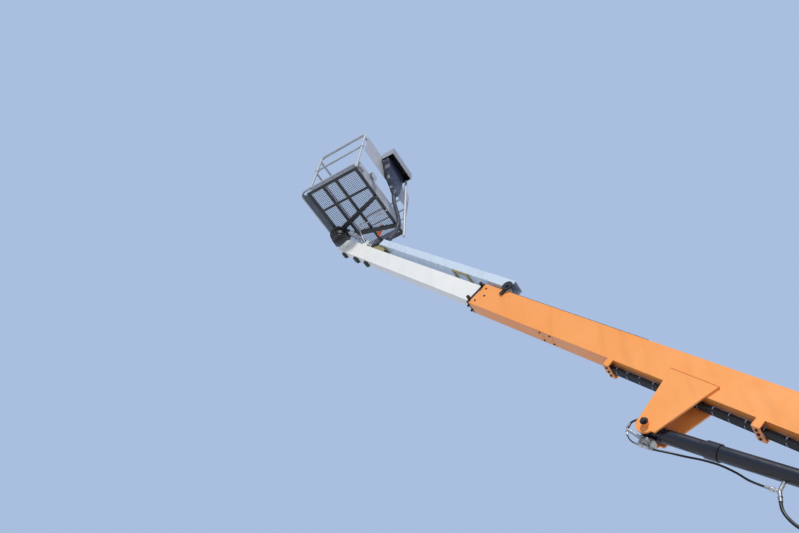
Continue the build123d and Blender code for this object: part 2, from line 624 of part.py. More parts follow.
# Main boom in boom coordinates
def make_outer_boom():
    top = OUTER_TOP
    bot = OUTER_TOP - OUTER_H
    w = OUTER_W / 2
    tube = block(OUTER_S0, OUTER_S1, -w, w, bot, top)
    inner_w = w - OUTER_WALL
    tube -= block(OUTER_S0 - 10, OUTER_S1 + 10, -inner_w, inner_w, bot + OUTER_WALL, top - OUTER_WALL)
    cut = plate([(OUTER_S0 - 5, top + 5), (OUTER_S0 - 5, bot - 5), (OUTER_S0 + 150, bot - 5)], -w - 5, w + 5)
    tube -= cut
    cheek = [(-60, -75), (60, -95), (OUTER_S0 + 10, -190), (1100, bot), (1100, top), (OUTER_S0 - 60, top)]
    cheek += [(60, 80), (-60, 70)]
    half = plate(cheek, w - CHEEK_T, w) + rod_y(0, 0, w - CHEEK_T, w, 95)
    half += rod_y(0, 0, w - CHEEK_T, LANE_IN[0] - 8, 62)
    boom = tube + both_sides(half)
    pin_s, pin_t = GUSSET_PIN
    web = [(2212, -150), (1838, -155), (pin_s - 92, pin_t - 30), (pin_s + 62, pin_t - 28)]
    ear = plate(web, w, w + GUSSET_T) + rod_y(pin_s, pin_t, w, w + GUSSET_T, GUSSET_EYE_R)
    ear += rod_y(pin_s, pin_t, w, w + GUSSET_T + 26, 25.5)
    boom += both_sides(ear) + rod_y(pin_s, pin_t, -w - 2, w + 2, 25.5)
    boom -= rod_y(0, 0, -200, 200, 35)
    for s in (2690, 1500):
        loop = block(s - 28, s + 28, -w, w, bot - LOOP_DROP, bot)
        boom += loop - block(s - 40, s + 40, 10 - w, w - 10, bot - LOOP_DROP + LOOP_T, bot)
    for s0, s1 in ((HOSE_S0 - 70, HOSE_S0), (HOSE_S1, HOSE_S1 + 20)):
        boom += block(s0, s1, -46, 46, bot - LOOP_DROP + LOOP_T, bot)
    return boom


def make_wear_pads():
    w = OUTER_W / 2
    f = FLY_W / 2 + 1.0
    knobs = None
    for t in (OUTER_TOP - 34, OUTER_TOP - OUTER_H + 40):
        for sy in (-1, 1):
            y0 = sy * f
            y1 = sy * (w + 44)
            knob = rod_y(OUTER_S1 + 18, t, min(y0, y1), max(y0, y1), 17)
            knobs = knob if knobs is None else knobs + knob
    ring = block(OUTER_S1, OUTER_S1 + 34, -w, w, OUTER_TOP - OUTER_H, OUTER_TOP)
    ring -= block(OUTER_S1 - 5, OUTER_S1 + 40, -f, f, FLY_TOP - FLY_H - 1, FLY_TOP + 1)
    knobs += ring
    for y in (-34, 34):
        knobs += rod_z(OUTER_S1 + 18, y, OUTER_TOP - OUTER_H - 20, OUTER_TOP - OUTER_H + 5, 12)
    return knobs


def make_hose_bundle():
    bot = OUTER_TOP - OUTER_H
    hoses = None
    step = 2 * HOSE_R + HOSE_GAP
    low = bot - LOOP_DROP + LOOP_T + HOSE_R + HOSE_GAP
    high = low + step * math.sqrt(3) / 2
    for y, t in ((-step, low), (0, low), (step, low), (-step / 2, high), (step / 2, high)):
        hose = rod_x(y, t, HOSE_S0, HOSE_S1, HOSE_R)
        hoses = hose if hoses is None else hoses + hose
    return hoses


def make_drag_chain():
    links = None
    start = OUTER_S1 - 1980.0
    pitch = 80.0
    count = 20
    for k in range(count):
        s = start + pitch * k
        link = block(s, s + 72, -20, 48, OUTER_TOP, OUTER_TOP + 20)
        links = link if links is None else links + link
    return links + block(start, start + pitch * count - 8, 4, 24, OUTER_TOP, OUTER_TOP + 14)


def make_duct_roller():
    w = OUTER_W / 2
    s = OUTER_S1 - 305.0
    gap = 6.0
    arm = block(s - 20, s + 20, w, w + 16, OUTER_TOP - 60, DUCT_T0 - gap)
    arm += block(s - 20, s + 20, w + gap, w + 16, OUTER_TOP, DUCT_T0 + 20)
    disc = rod_y(s, OUTER_TOP + 46, w + 10, w + 26, 55)
    return arm + disc + rod_y(s, OUTER_TOP + 46, w + 24, w + 38, 18)


def make_fly_boom():
    w = FLY_W / 2
    bot = FLY_TOP - FLY_H
    side = [(FLY_S0, FLY_TOP), (FLY_S1 - 46, FLY_TOP), (FLY_S1, FLY_TOP - 34), (FLY_S1 + 12, bot + 30)]
    side += [(FLY_S1 - 6, bot), (FLY_S0, bot)]
    tube = plate(side, -w, w)
    tube -= block(FLY_S0 - 10, FLY_S1 - 260, -w + FLY_WALL, w - FLY_WALL, bot + FLY_WALL, FLY_TOP - FLY_WALL)
    tube -= block(TIP_PIVOT[0] - 62, FLY_S1 + 30, -w + 10, w - 10, TIP_PIVOT[1] - 95, FLY_TOP + 5)
    tube += rod_y(TIP_PIVOT[0], TIP_PIVOT[1], -w - 10, w + 10, 20)
    foot_s, foot_t = LEVEL_FOOT
    lug = [(foot_s - 70, FLY_TOP - 2), (foot_s + 60, FLY_TOP - 2), (foot_s + 24, foot_t + 8)]
    lug += [(foot_s - 24, foot_t + 8)]
    tube += both_sides(plate(lug, 24, 36) + rod_y(foot_s, foot_t, 24, 36, 26))
    return tube + both_sides(rod_y(foot_s, foot_t, 24, 46, 14))


def make_tip_pads():
    bot = FLY_TOP - FLY_H
    pads = None
    for s, size in ((7560, 50), (7200, 60), (6900, 46)):
        low = bot - 34
        pad = plate([(s - size, bot), (s + size, bot), (s + size - 24, low), (s - size + 16, low)], -40, 30)
        pads = pad if pads is None else pads + pad
    return pads


def make_cable_duct():
    duct = block(DUCT_S0, DUCT_S1, DUCT_Y0, DUCT_Y1, DUCT_T0, DUCT_T1)
    c = DUCT_WALL
    return duct - block(DUCT_S0 - 5, DUCT_S1 + 5, DUCT_Y0 + c, DUCT_Y1 - c, DUCT_T0 + c, DUCT_T1 - c)


def make_duct_brackets():
    w = FLY_W / 2
    front = DUCT_S1
    side = [(front - 200, FLY_TOP), (front + 110, FLY_TOP), (front + 5, DUCT_T0), (front - 140, DUCT_T0)]
    stand = plate(side, w - 8, w) + plate(side, -w, -w + 8)
    stand += block(front - 140, front, -w, w, DUCT_T0 - 6, DUCT_T0)
    low = DUCT_T0 - STRAP_DROP
    for s in DUCT_STRAPS:
        stand += block(s - 14, s + 14, DUCT_Y0, DUCT_Y1, low, DUCT_T0)
    stand += block(DUCT_STRAPS[0], DUCT_STRAPS[1], DUCT_Y1 - 20, DUCT_Y1, low, DUCT_T0)
    return stand


def make_lift_barrel():
    pin = GUSSET_PIN
    tail = RAM_TAIL
    body = between(pin, tail, 0, LIFT_R, 20, 640)
    body += between(pin, tail, 0, LIFT_R + 8, 395, 640 + 1330)
    body += between(pin, tail, 0, LIFT_R + 6, 1720, 640)
    body += rod_y(pin[0], pin[1], -52, 52, LIFT_EYE_R)
    body -= between(pin, tail, 0, LIFT_ROD_R + 1, 160, 600)
    return body - rod_y(pin[0], pin[1], -60, 60, 26)


def make_lift_rod():
    pin = GUSSET_PIN
    tail = RAM_TAIL
    body = between(pin, tail, 0, LIFT_ROD_R, 520, 20)
    return body + rod_y(tail[0], tail[1], -27, 27, 44)


def ram_point(along, drop, y):
    """Boom coordinates of a point beside the lift cylinder: along it from its pin, and below its axis."""
    dx = RAM_TAIL[0] - GUSSET_PIN[0]
    dz = RAM_TAIL[1] - GUSSET_PIN[1]
    length = math.hypot(dx, dz)
    ux = dx / length
    uz = dz / length
    return (GUSSET_PIN[0] + ux * along - uz * drop, y, GUSSET_PIN[1] + uz * along + ux * drop)


def on_ram(along, drop):
    x, y, z = ram_point(along, drop, 0)
    return (x, z)


def make_valve_block():
    """The holding valve under the cylinder's eye, its fittings, and the two ports on the barrel."""
    top = LIFT_EYE_R + SEAT_GAP
    low = top + 52.0
    body = beam_between(on_ram(-20, (top + low) / 2), on_ram(70, (top + low) / 2), -34, 34, low - top)
    # lateral cartridges: place along the cylinder, drop, radius
    for along, drop, radius in ((4, 84, 17), (48, 90, 14)):
        x, z = on_ram(along, drop)
        body += rod_y(x, z, 34, 56, radius)
    front = on_ram(*VALVE_FRONT)
    body += between(front, on_ram(-10, 80), HOSE_Y, 9)
    body += between(front, on_ram(-10, 80), HOSE_Y, 13, 24, 40)
    body += between(front, on_ram(VALVE_FRONT[0] + 9, VALVE_FRONT[1] + 14.5), HOSE_Y, 5)
    body += between(front, on_ram(-10, 80), HOSE_Y, 13, 96, 24)
    lower = (on_ram(VALVE_LOW[0], VALVE_LOW[1]), on_ram(VALVE_LOW[2], VALVE_LOW[1]))
    body += between(lower[0], lower[1], HOSE_Y, 10)
    body += between(lower[0], lower[1], HOSE_Y, 14, 10, 44)
    barrel = LIFT_R + SEAT_GAP
    tee = between(on_ram(TEE_AT, barrel), on_ram(TEE_AT, TEE_DROP + 10), 0, 12)
    tee += between(on_ram(TEE_AT - 46, TEE_DROP), on_ram(TEE_AT, TEE_DROP), 0, 10)
    tee += between(on_ram(TEE_AT - 46, TEE_DROP), on_ram(TEE_AT - 26, TEE_DROP), 0, 14)
    tee += between(on_ram(TEE_AT, TEE_DROP), on_ram(TEE_AT + 13, TEE_DROP + 26), 0, 12)
    port = between(on_ram(PORT_AT, barrel), on_ram(PORT_AT, PORT_DROP + 12), 0, 12)
    port += between(on_ram(PORT_AT, PORT_DROP), on_ram(PORT_AT - 44, PORT_DROP + 31), 0, 12)
    return Compound(children=[body.solid(), tee.solid(), port.solid()])


def make_ram_hoses():
    """Hoses of the lift cylinder, as (along, drop, lateral) points beside it."""
    gap = SEAT_GAP
    front, drop = VALVE_FRONT
    low = VALVE_LOW[1]
    feed = [(front, drop - 9 - gap, HOSE_Y), (front, drop - 62, HOSE_Y), (-108, -84, -5)]
    feed += [(-62, -94, 5 - OUTER_W / 2)]
    pilot = [(front + 9.3, drop + 15, HOSE_Y), (front + 27, drop + 43.5, HOSE_Y), (-85, 114, HOSE_Y)]
    pilot += [(-50, low, HOSE_Y), (VALVE_LOW[0] - gap, low, HOSE_Y)]
    link = [(VALVE_LOW[2] + gap, low, HOSE_Y), (115, low, HOSE_Y), (190, 103, 0), (270, 76, -36)]
    link += [(350, 46, -66), (465, 36, -73), (590, 58, -64), (673, 95, -30), (762, TEE_DROP, 0)]
    link += [(TEE_AT - 46 - gap, TEE_DROP, 0)]
    tail = [(TEE_AT + 13.2, TEE_DROP + 26.4, 0), (TEE_AT + 53, TEE_DROP + 106, 0), (1010, 275, 0)]
    tail += [(1140, 285, 0), (1270, 252, 0), (PORT_AT - 44.3, PORT_DROP + 31.2, 0)]
    solids = []
    for route, radius in ((feed, 7.5), (pilot, 5), (link, 7), (tail, 10)):
        solids.append(hose([ram_point(*point) for point in route], radius).solid())
    return Compound(children=solids)


def make_level_yoke():
    head = LEVEL_HEAD
    piv = boom_point(TIP_PIVOT)
    top = boom_point(head)
    web = [(piv[0] - 34, piv[1]), (piv[0] + 36, piv[1] - 12), (ROTATOR_X + 40, ROTATOR_Z0 - 140)]
    web += [(ROTATOR_X + 90, ROTATOR_Z0), (ROTATOR_X - 90, ROTATOR_Z0), (ROTATOR_X - 140, ROTATOR_Z0 - 30)]
    web += [(top[0] - 24, top[1] - 165)]
    core = plate(web, -22, 22) + rod_y(piv[0], piv[1], -44, 44, 40)
    ear = [(top[0], top[1] + 27), (top[0] + 32, top[1] + 14), (ROTATOR_X - 128, ROTATOR_Z0 - 1)]
    ear += [(ROTATOR_X - 75, ROTATOR_Z0 - 1), (ROTATOR_X - 75, ROTATOR_Z0 - 60)]
    ear += [(ROTATOR_X - 140, ROTATOR_Z0 - 60), (top[0] + 6, top[1] - 27)]
    core += both_sides(plate(ear, 24, 38) + rod_y(top[0], top[1], 24, 38, 28))
    core += rod_y(top[0], top[1], -46, 46, 13)
    core += block(ROTATOR_X - 140, ROTATOR_X - 80, -38, 38, ROTATOR_Z0 - 60, ROTATOR_Z0)
    core += rod_z(ROTATOR_X, 0, ROTATOR_Z0 - 30, ROTATOR_Z0, 96)
    return core - rod_y(piv[0], piv[1], -60, 60, 20.5)


def make_level_barrel():
    head = LEVEL_HEAD
    foot = LEVEL_FOOT
    body = between(head, foot, 0, 18, 10, 680)
    body += between(head, foot, 0, 36, 60, 322)
    body += rod_y(head[0], head[1], -18, 18, 24)
    body -= between(head, foot, 0, 15.5, 84, 300)
    return body - rod_y(head[0], head[1], -30, 30, 13.5)


def make_level_rod():
    body = between(LEVEL_HEAD, LEVEL_FOOT, 0, 15, 340, 14)
    return body + rod_y(LEVEL_FOOT[0], LEVEL_FOOT[1], -19, 19, 24)


# Basket and what carries it
def make_rotator():
    body = rod_z(ROTATOR_X, 0, ROTATOR_Z0 + 0.5, ROTATOR_Z0 + 96, ROTATOR_R)
    body += rod_z(ROTATOR_X, 0, ROTATOR_Z0 + 96, ROTATOR_Z0 + 110, ROTATOR_R + 40)
    return body


def make_basket_beams():
    """The V of beams between the rotator and the floor frame."""
    apex = NOSE_X - 60
    frame = None
    for sy in (-1, 1):
        plan = [(apex, sy * 2), (apex - 40, sy * 44), (REAR_X + 10, sy * 292), (REAR_X - 20, sy * 250)]
        plan += [(ROTATOR_X, sy * 2)]
        arm = slab(plan, BEAM_Z0, RIM_Z0)
        frame = arm if frame is None else frame + arm
    return frame


def make_floor_frame():
    z0 = RIM_Z0
    z1 = RIM_Z0 + RIM_TUBE
    rim = block(REAR_X - 15, POST_X + 15, FAR_Y - 15, NEAR_Y + 15, z0, z1)
    rim -= block(REAR_X + 25, POST_X - 25, FAR_Y + 25, NEAR_Y - 25, z0 - 5, z1 + 5)
    for x in (REAR_X + 345, REAR_X + 565):
        rim += block(x - 14, x + 14, FAR_Y, NEAR_Y, z0, z1)
    rim += block(REAR_X, POST_X, NEAR_Y - 344, NEAR_Y - 316, z0, z1)
    nose = [(POST_X + 10, z0 + 2), (POST_X + 14, z1 - 1), (NOSE_X - 26, SKIRT_Z - 18)]
    nose += [(NOSE_X - 12, SKIRT_Z - 18)]
    return rim + plate(nose, FAR_Y + 24, NEAR_Y - 24)


def make_floor_mesh():
    return block(REAR_X, POST_X, FAR_Y, NEAR_Y, FLOOR_Z, FLOOR_Z + MESH_T)


def hoop_points(y):
    top = RAIL_Z - RAIL_R
    return [(REAR_X, y, FLOOR_Z + MESH_T), (REAR_X, y, top), (POST_X, y, top), (POST_X, y, SKIRT_Z)]


def make_basket_rails():
    """Two hoops, the bars between them and the skirt tube, with the ends notched round what they meet."""
    corners = [(x, y) for x in (REAR_X, POST_X) for y in (FAR_Y, NEAR_Y)]
    posts = [rod_z(x, y, SKIRT_Z, RAIL_Z, RAIL_R + SEAT_GAP) for x, y in corners]
    solids = []
    for y in (NEAR_Y, FAR_Y):
        notch = rod_x(y, SKIRT_Z, POST_X - 2 * RAIL_R, POST_X + 2 * RAIL_R, SKIRT_R + SEAT_GAP)
        solids.append(pipe(hoop_points(y), HOOP_BEND, RAIL_R) - notch)
    bars = [rod_y(x, CROSS_Z, FAR_Y, NEAR_Y, CROSS_R) for x in (REAR_X, POST_X)]
    bars.append(rod_y(POST_X, BAR_Z - 70, FAR_Y, NEAR_Y, BAR_R))
    bars.append(rod_x(FAR_Y, BAR_Z, REAR_X, POST_X, BAR_R))
    solids += [bar - posts for bar in bars]
    tail = SKIRT_BEND + 60
    skirt = [(REAR_X, NEAR_Y - tail, SKIRT_Z), (REAR_X, NEAR_Y, SKIRT_Z), (NOSE_X, NEAR_Y, SKIRT_Z)]
    skirt += [(NOSE_X, FAR_Y, SKIRT_Z), (REAR_X, FAR_Y, SKIRT_Z), (REAR_X, FAR_Y + tail, SKIRT_Z)]
    solids.append(pipe(skirt, SKIRT_BEND, SKIRT_R))
    return Compound(children=[piece.solid() for piece in solids])


def make_kick_plates():
    """A U-shaped toe board inside the posts and the skirt tube, taller at the rear."""
    inset = RAIL_R + SEAT_GAP
    z0 = FLOOR_Z + MESH_T + SEAT_GAP
    board = None
    for d in (inset, inset + KICK_T):
        x0 = REAR_X + d
        x1 = POST_X + (50 if board else 0)
        y0 = FAR_Y + d
        y1 = NEAR_Y - d
        outline = Pos((x0 + x1) / 2, (y0 + y1) / 2) * Rectangle(x1 - x0, y1 - y0)
        rear = outline.vertices().sort_by(Axis.X)[:2]
        outline = fillet(rear, SKIRT_BEND - d)
        board = board - outline if board else outline
    plates = Pos(0, 0, z0) * extrude(board, KICK_REAR_Z - z0)
    return plates - block(REAR_X + SKIRT_BEND, POST_X + 1, FAR_Y, NEAR_Y, SKIRT_Z, KICK_REAR_Z + 1)


def make_rear_panel():
    """The sheet between the rear posts, and the angle that hangs over the rear toe board."""
    face = REAR_X - RAIL_R
    panel = block(face - 4.3, face - 0.8, FAR_Y + 10, NEAR_Y - 45, FLOOR_Z + 605, RAIL_Z - 60)
    y0 = NEAR_Y - 400
    y1 = y0 + 110
    outer = REAR_X - 42.0
    top = KICK_REAR_Z + SEAT_GAP
    angle = block(outer, REAR_X + RAIL_R + SEAT_GAP + KICK_T, y0, y1, top, top + 4)
    angle += block(outer, outer + 4, y0, y1, top - 116, top + 4)
    return Compound(children=[panel, angle.solid()])


def make_gravity_bar():
    bar = rod_x(NEAR_Y, BAR_Z, REAR_X + 20, POST_X - 20, BAR_R)
    for x in (REAR_X, POST_X):
        bar += rod_z(x, NEAR_Y, BAR_Z - 26, BAR_Z + 26, RAIL_R + 8)
    for x in (REAR_X, POST_X):
        bar -= rod_z(x, NEAR_Y, BAR_Z - 30, BAR_Z + 30, RAIL_R + 1)
    return bar


def make_console():
    low = CONSOLE_TOP - CONSOLE_H
    wall = CONSOLE_WALL
    box = block(CONSOLE_X0, CONSOLE_X1, CONSOLE_Y0, CONSOLE_Y1, low, CONSOLE_TOP)
    box -= block(CONSOLE_X0 + wall, CONSOLE_X1 - wall, CONSOLE_Y0 + wall, CONSOLE_Y1 - wall, low - wall,
                 CONSOLE_TOP - wall - 2)
    lug_top = RAIL_Z - RAIL_R - 48
    panel_face = REAR_X - RAIL_R - 1.1
    for y in (CONSOLE_Y0 + 80, CONSOLE_Y1 - 70):
        box += block(CONSOLE_X1 - 2, panel_face - 4, y - 15, y + 15, lug_top - 24, lug_top)
    return box


def make_console_cover():
    """The tapering boot that hangs from the console."""
    top_z = CONSOLE_TOP - CONSOLE_H - SEAT_GAP
    # distance behind the rear posts, lateral centre, height, depth, width
    sections = ((113, 25, BOOT_LOW_Z, 90, 200), (97, 50, BOOT_LOW_Z + 300, 112, 330))
    sections += ((94, 110, top_z, 128, 440),)
    faces = []
    for behind, y, z, depth, width in sections:
        faces.append((Plane.XY.offset(z) * Pos(REAR_X - behind, y) * Rectangle(depth, width)).face())
    return loft(faces, ruled=True)


def make_guard_tube():
    """The tube that runs down beside the boot, with a stub to the floor frame."""
    x = REAR_X - 155.0
    top_z = CONSOLE_TOP - CONSOLE_H + 6.0
    top_y = CONSOLE_Y0 + 6.0
    low_y = top_y - 133.0
    low_z = FLOOR_Z - 439.0
    radius = 20.0
    tube = pipe([(x, top_y, top_z), (x, low_y, low_z)], None, radius)
    stub_z = RIM_Z0 + RIM_TUBE / 2
    stub_y = top_y + (low_y - top_y) * (top_z - stub_z) / (top_z - low_z)
    tube += rod_x(stub_y, stub_z, x, REAR_X - 15 - SEAT_GAP, 12)
    return tube - block(x - 50, x + 50, top_y - 50, top_y + 50, CONSOLE_TOP - CONSOLE_H - SEAT_GAP, top_z + 20)


def make_conduit():
    """The corrugated hose from the boot; its low end hangs beside the boom's cable duct."""
    side = CONDUIT_SIDE
    # distance behind the rear posts, lateral place, height over the floor
    route = ((127, 30, 230 - SEAT_GAP), (127, 30, 120), (146, -40, -60), (164, -118, -240), (150, side, -410))
    route += ((105, side + 8, -560), (62, side + 30, -690))
    return hose([(REAR_X - behind, y, FLOOR_Z + z) for behind, y, z in route], CONDUIT_R)


BOOM_NODES = (
    ("outer_boom", make_outer_boom), ("wear_pads", make_wear_pads), ("hose_bundle", make_hose_bundle),
    ("drag_chain", make_drag_chain), ("duct_roller", make_duct_roller), ("fly_boom", make_fly_boom),
    ("cable_duct", make_cable_duct), ("duct_brackets", make_duct_brackets),
    ("tip_pads", make_tip_pads), ("lift_barrel", make_lift_barrel), ("lift_rod", make_lift_rod),
    ("valve_block", make_valve_block), ("ram_hoses", make_ram_hoses),
    ("level_barrel", make_level_barrel), ("level_rod", make_level_rod),
)
MACHINE_NODES = (
    ("chassis_frame", make_chassis), ("rear_axle", make_rear_axle), ("front_axle", make_front_axle),
    ("tie_rod", make_tie_rod), ("slew_ring", make_slew_ring), ("turret_frame", make_turret),
    ("turret_decks", make_decks),
    ("counterweight", make_counterweight), ("engine_block", make_engine), ("tanks", make_tanks),
    ("lower_arm", make_lower_arm), ("riser_knuckle", make_riser_knuckle), ("upper_arm", make_upper_arm),
    ("upright", make_upright), ("riser_barrels", make_riser_barrels), ("riser_rods", make_riser_rods),
    ("level_yoke", make_level_yoke), ("rotator", make_rotator), ("basket_beams", make_basket_beams),
    ("floor_frame", make_floor_frame), ("floor_mesh", make_floor_mesh), ("kick_plates", make_kick_plates),
    ("basket_rails", make_basket_rails), ("rear_panel", make_rear_panel), ("guard_tube", make_guard_tube),
    ("gravity_bar", make_gravity_bar), ("console", make_console), ("console_cover", make_console_cover),
    ("conduit", make_conduit),
)

rim = make_rim()
tyre = make_tyre()
for tag, sx, sy in (("fl", 1, 1), ("fr", 1, -1), ("rl", -1, 1), ("rr", -1, -1)):
    x = sx * AXLE_X
    y = sy * WHEEL_Y
    turn = Rot(0, 0, 0) if y > 0 else Rot(0, 0, 180)
    save(Pos(x, y, AXLE_Z) * turn * rim, "rim_" + tag)
    save(Pos(x, y, AXLE_Z) * turn * tyre, "tyre_" + tag)

for name, side in (("left", 1), ("right", -1)):
    save(make_knuckle(side), "steer_knuckle_" + name)
    save(make_cover(side), "cover_" + name)
    save(make_door(side), "door_" + name)

save(make_links(PIV_O, PIV_K1, LOW_LINK_OFF), "lower_links")
save(make_links(PIV_U, PIV_K2, UP_LINK_OFF), "upper_links")

for name, make in MACHINE_NODES:
    save(make(), name)
for name, make in BOOM_NODES:
    save(boom_place(make()), name)
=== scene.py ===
# %% [markdown]
# An articulating boom lift seen from below: an orange outer boom, a white telescopic boom run out of it
# and a tubular work basket, on a four-wheeled base that stands outside the camera's view.
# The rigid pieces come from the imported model. This file dresses them with finishes and adds what is too
# fine for the model: treads, bolts, welds, mesh, cable ties, fittings and the corrugated conduit.

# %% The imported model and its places
import bpy
import bmesh
import json
import math
import random
from mathutils import Matrix, Vector, noise


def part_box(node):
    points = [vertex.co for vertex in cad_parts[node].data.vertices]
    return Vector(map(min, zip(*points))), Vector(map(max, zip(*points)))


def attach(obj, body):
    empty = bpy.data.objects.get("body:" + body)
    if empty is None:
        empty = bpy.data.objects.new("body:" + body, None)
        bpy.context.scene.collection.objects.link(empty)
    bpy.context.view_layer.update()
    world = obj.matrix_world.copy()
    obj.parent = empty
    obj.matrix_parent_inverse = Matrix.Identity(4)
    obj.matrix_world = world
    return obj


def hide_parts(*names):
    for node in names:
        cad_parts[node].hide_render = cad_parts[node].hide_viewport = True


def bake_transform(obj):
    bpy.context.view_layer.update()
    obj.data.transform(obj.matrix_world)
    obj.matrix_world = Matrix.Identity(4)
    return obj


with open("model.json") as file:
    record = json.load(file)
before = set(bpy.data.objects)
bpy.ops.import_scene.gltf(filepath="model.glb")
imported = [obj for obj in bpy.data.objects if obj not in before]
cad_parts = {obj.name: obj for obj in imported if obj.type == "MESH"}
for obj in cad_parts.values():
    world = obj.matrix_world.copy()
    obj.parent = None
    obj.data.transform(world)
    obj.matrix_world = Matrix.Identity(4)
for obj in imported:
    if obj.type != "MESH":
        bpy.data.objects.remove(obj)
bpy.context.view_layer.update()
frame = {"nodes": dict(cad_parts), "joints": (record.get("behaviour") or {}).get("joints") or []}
nodes = frame["nodes"]
joints = {joint["name"]: joint for joint in frame["joints"]}
scene = bpy.context.scene

# %% [markdown]
# The boom leans, so its small pieces are easiest to place in the boom's own directions: s along it,
# y across it and t square to it, all measured from its rear pivot. One matrix turns that into the
# model's directions. The pivot and the lean are read from the joints, so nothing is fitted by eye.

# %% Boom directions
MM = 0.001
boom_pivot = Vector(joints["boom_lift"]["pos_m"])
boom_axis = Vector(joints["fly_extend"]["axis"]).normalized()
boom_tilt = math.atan2(boom_axis.z, boom_axis.x)


def boom_at(s, y, t):
    """The matrix of a place on the boom, in millimetres from its rear pivot."""
    turn = Matrix.Rotation(-boom_tilt, 4, "Y")
    return Matrix.Translation(boom_pivot) @ turn @ Matrix.Translation((s * MM, y * MM, t * MM))


print("boom lean:", round(math.degrees(boom_tilt), 2), "degrees")

# %% [markdown]
# The camera stands on the ground beside the machine and looks up along the boom. Its place and two of
# its directions are given, and the third is square to both, which keeps the slight roll of a
# hand-held camera. A 30.7 mm lens on a 36 mm sensor gives the picture's field of view.

# %% Camera
EYE = Vector((-1.3575, 3.689, 0.2))
LOOK_RIGHT = Vector((-0.841, -0.534, 0.082))
LOOK_AHEAD = Vector((0.3675, -0.453, 0.811)).normalized()
LENS_MM = 30.68
SENSOR_MM = 36.0
NEAR_CLIP, FAR_CLIP = 0.05, 200.0


def make_camera():
    data = bpy.data.cameras.new("camera")
    data.lens = LENS_MM
    data.sensor_width = SENSOR_MM
    data.clip_start = NEAR_CLIP
    data.clip_end = FAR_CLIP
    camera = bpy.data.objects.new("camera", data)
    right = (LOOK_RIGHT - LOOK_AHEAD * LOOK_RIGHT.dot(LOOK_AHEAD)).normalized()
    up = right.cross(LOOK_AHEAD)
    turn = Matrix((right, up, -LOOK_AHEAD)).transposed().to_4x4()
    camera.matrix_world = Matrix.Translation(EYE) @ turn
    scene.collection.objects.link(camera)
    scene.camera = camera


make_camera()
print("camera height:", round(EYE.z, 2), "m")

# %% [markdown]
# One sun from the side and above gives the lit side its full colour, and a pale sky fills the
# undersides, so the boom's faces read apart as they do outdoors. The sky is seen by the camera and in
# reflections as a pale blue-grey, and lights the object a little more weakly than it looks.

# %% Light and sky
SUN_FROM = Vector((-0.55, 0.95, 1.0))
SUN_STRENGTH = 2.85
SUN_WIDTH = math.radians(5)
SUN_TINT = (1.0, 0.965, 0.90)
SKY_SEEN = (0.40, 0.52, 0.74, 1.0)
SKY_LIGHT = (0.62, 0.72, 0.92, 1.0)
SKY_STRENGTH = 0.36


def add(tree, kind, inputs=None, **settings):
    """Adds a shader node; inputs are numbers, colours or other nodes' outputs."""
    node = tree.nodes.new(kind)
    for key, value in settings.items():
        setattr(node, key, value)
    for key, value in (inputs or {}).items():
        if isinstance(value, bpy.types.NodeSocket):
            tree.links.new(value, node.inputs[key])
        else:
            node.inputs[key].default_value = value
    return node


def make_world():
    world = bpy.data.worlds.new("sky")
    scene.world = world
    world.use_nodes = True
    tree = world.node_tree
    tree.nodes.clear()
    path = add(tree, "ShaderNodeLightPath").outputs
    seen = path["Is Camera Ray"]
    for kind in ("Is Glossy Ray", "Is Transmission Ray"):
        seen = add(tree, "ShaderNodeMath", {0: seen, 1: path[kind]}, operation="MAXIMUM").outputs[0]
    light = add(tree, "ShaderNodeBackground", {"Color": SKY_LIGHT, "Strength": SKY_STRENGTH})
    look = add(tree, "ShaderNodeBackground", {"Color": SKY_SEEN, "Strength": 1.0})
    both = add(tree, "ShaderNodeMixShader", {0: seen, 1: light.outputs[0], 2: look.outputs[0]})
    add(tree, "ShaderNodeOutputWorld", {"Surface": both.outputs[0]})


def make_sun():
    data = bpy.data.lights.new("sun", "SUN")
    data.energy = SUN_STRENGTH
    data.angle = SUN_WIDTH
    data.color = SUN_TINT
    sun = bpy.data.objects.new("sun", data)
    sun.rotation_mode = "QUATERNION"
    sun.rotation_quaternion = (-SUN_FROM).to_track_quat("-Z", "Y")
    scene.collection.objects.link(sun)


scene.view_settings.view_transform = "Standard"
make_world()
make_sun()
print("sun strength:", SUN_STRENGTH, "sky strength:", SKY_STRENGTH)

# %% [markdown]
# A new piece is modelled in a bmesh, then kept as a mesh whose object sits at the origin, because its
# place belongs in its mesh. The same few steps end every piece, so one function holds them: merge what
# touches, turn the faces outwards, give it a finish and let it ride on the body that carries it.

# %% Helpers that make and finish pieces
MERGE_WITHIN = 0.00002
# shares of a bolt's width across the flats
HEX_RADIUS = 0.577
WASHER_RADIUS = 0.82
WASHER_HEIGHT = 0.12


def to_mesh(bm, name):
    mesh = bpy.data.meshes.new(name)
    bm.to_mesh(mesh)
    bm.free()
    return mesh


def stand(name, mesh):
    piece = bpy.data.objects.new(name, mesh)
    scene.collection.objects.link(piece)
    return piece


def shift(x, y, z):
    return Matrix.Translation((x, y, z))


def keep(bm, name, body, finish, smooth=None, merge=True):
    """Turns a bmesh into a finished piece; smooth is the angle in degrees that still looks round."""
    if merge:
        bmesh.ops.remove_doubles(bm, verts=bm.verts, dist=MERGE_WITHIN)
    bmesh.ops.recalc_face_normals(bm, faces=bm.faces)
    mesh = to_mesh(bm, name)
    if smooth is not None:
        mesh.shade_smooth()
        mesh.set_sharp_from_angle(angle=math.radians(smooth))
    mesh.materials.append(finish)
    piece = stand(name, mesh)
    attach(piece, body)
    return piece


def edges_of(made):
    """The edges of what an operator has just made."""
    return list({edge for vert in made["verts"] for edge in vert.link_edges})


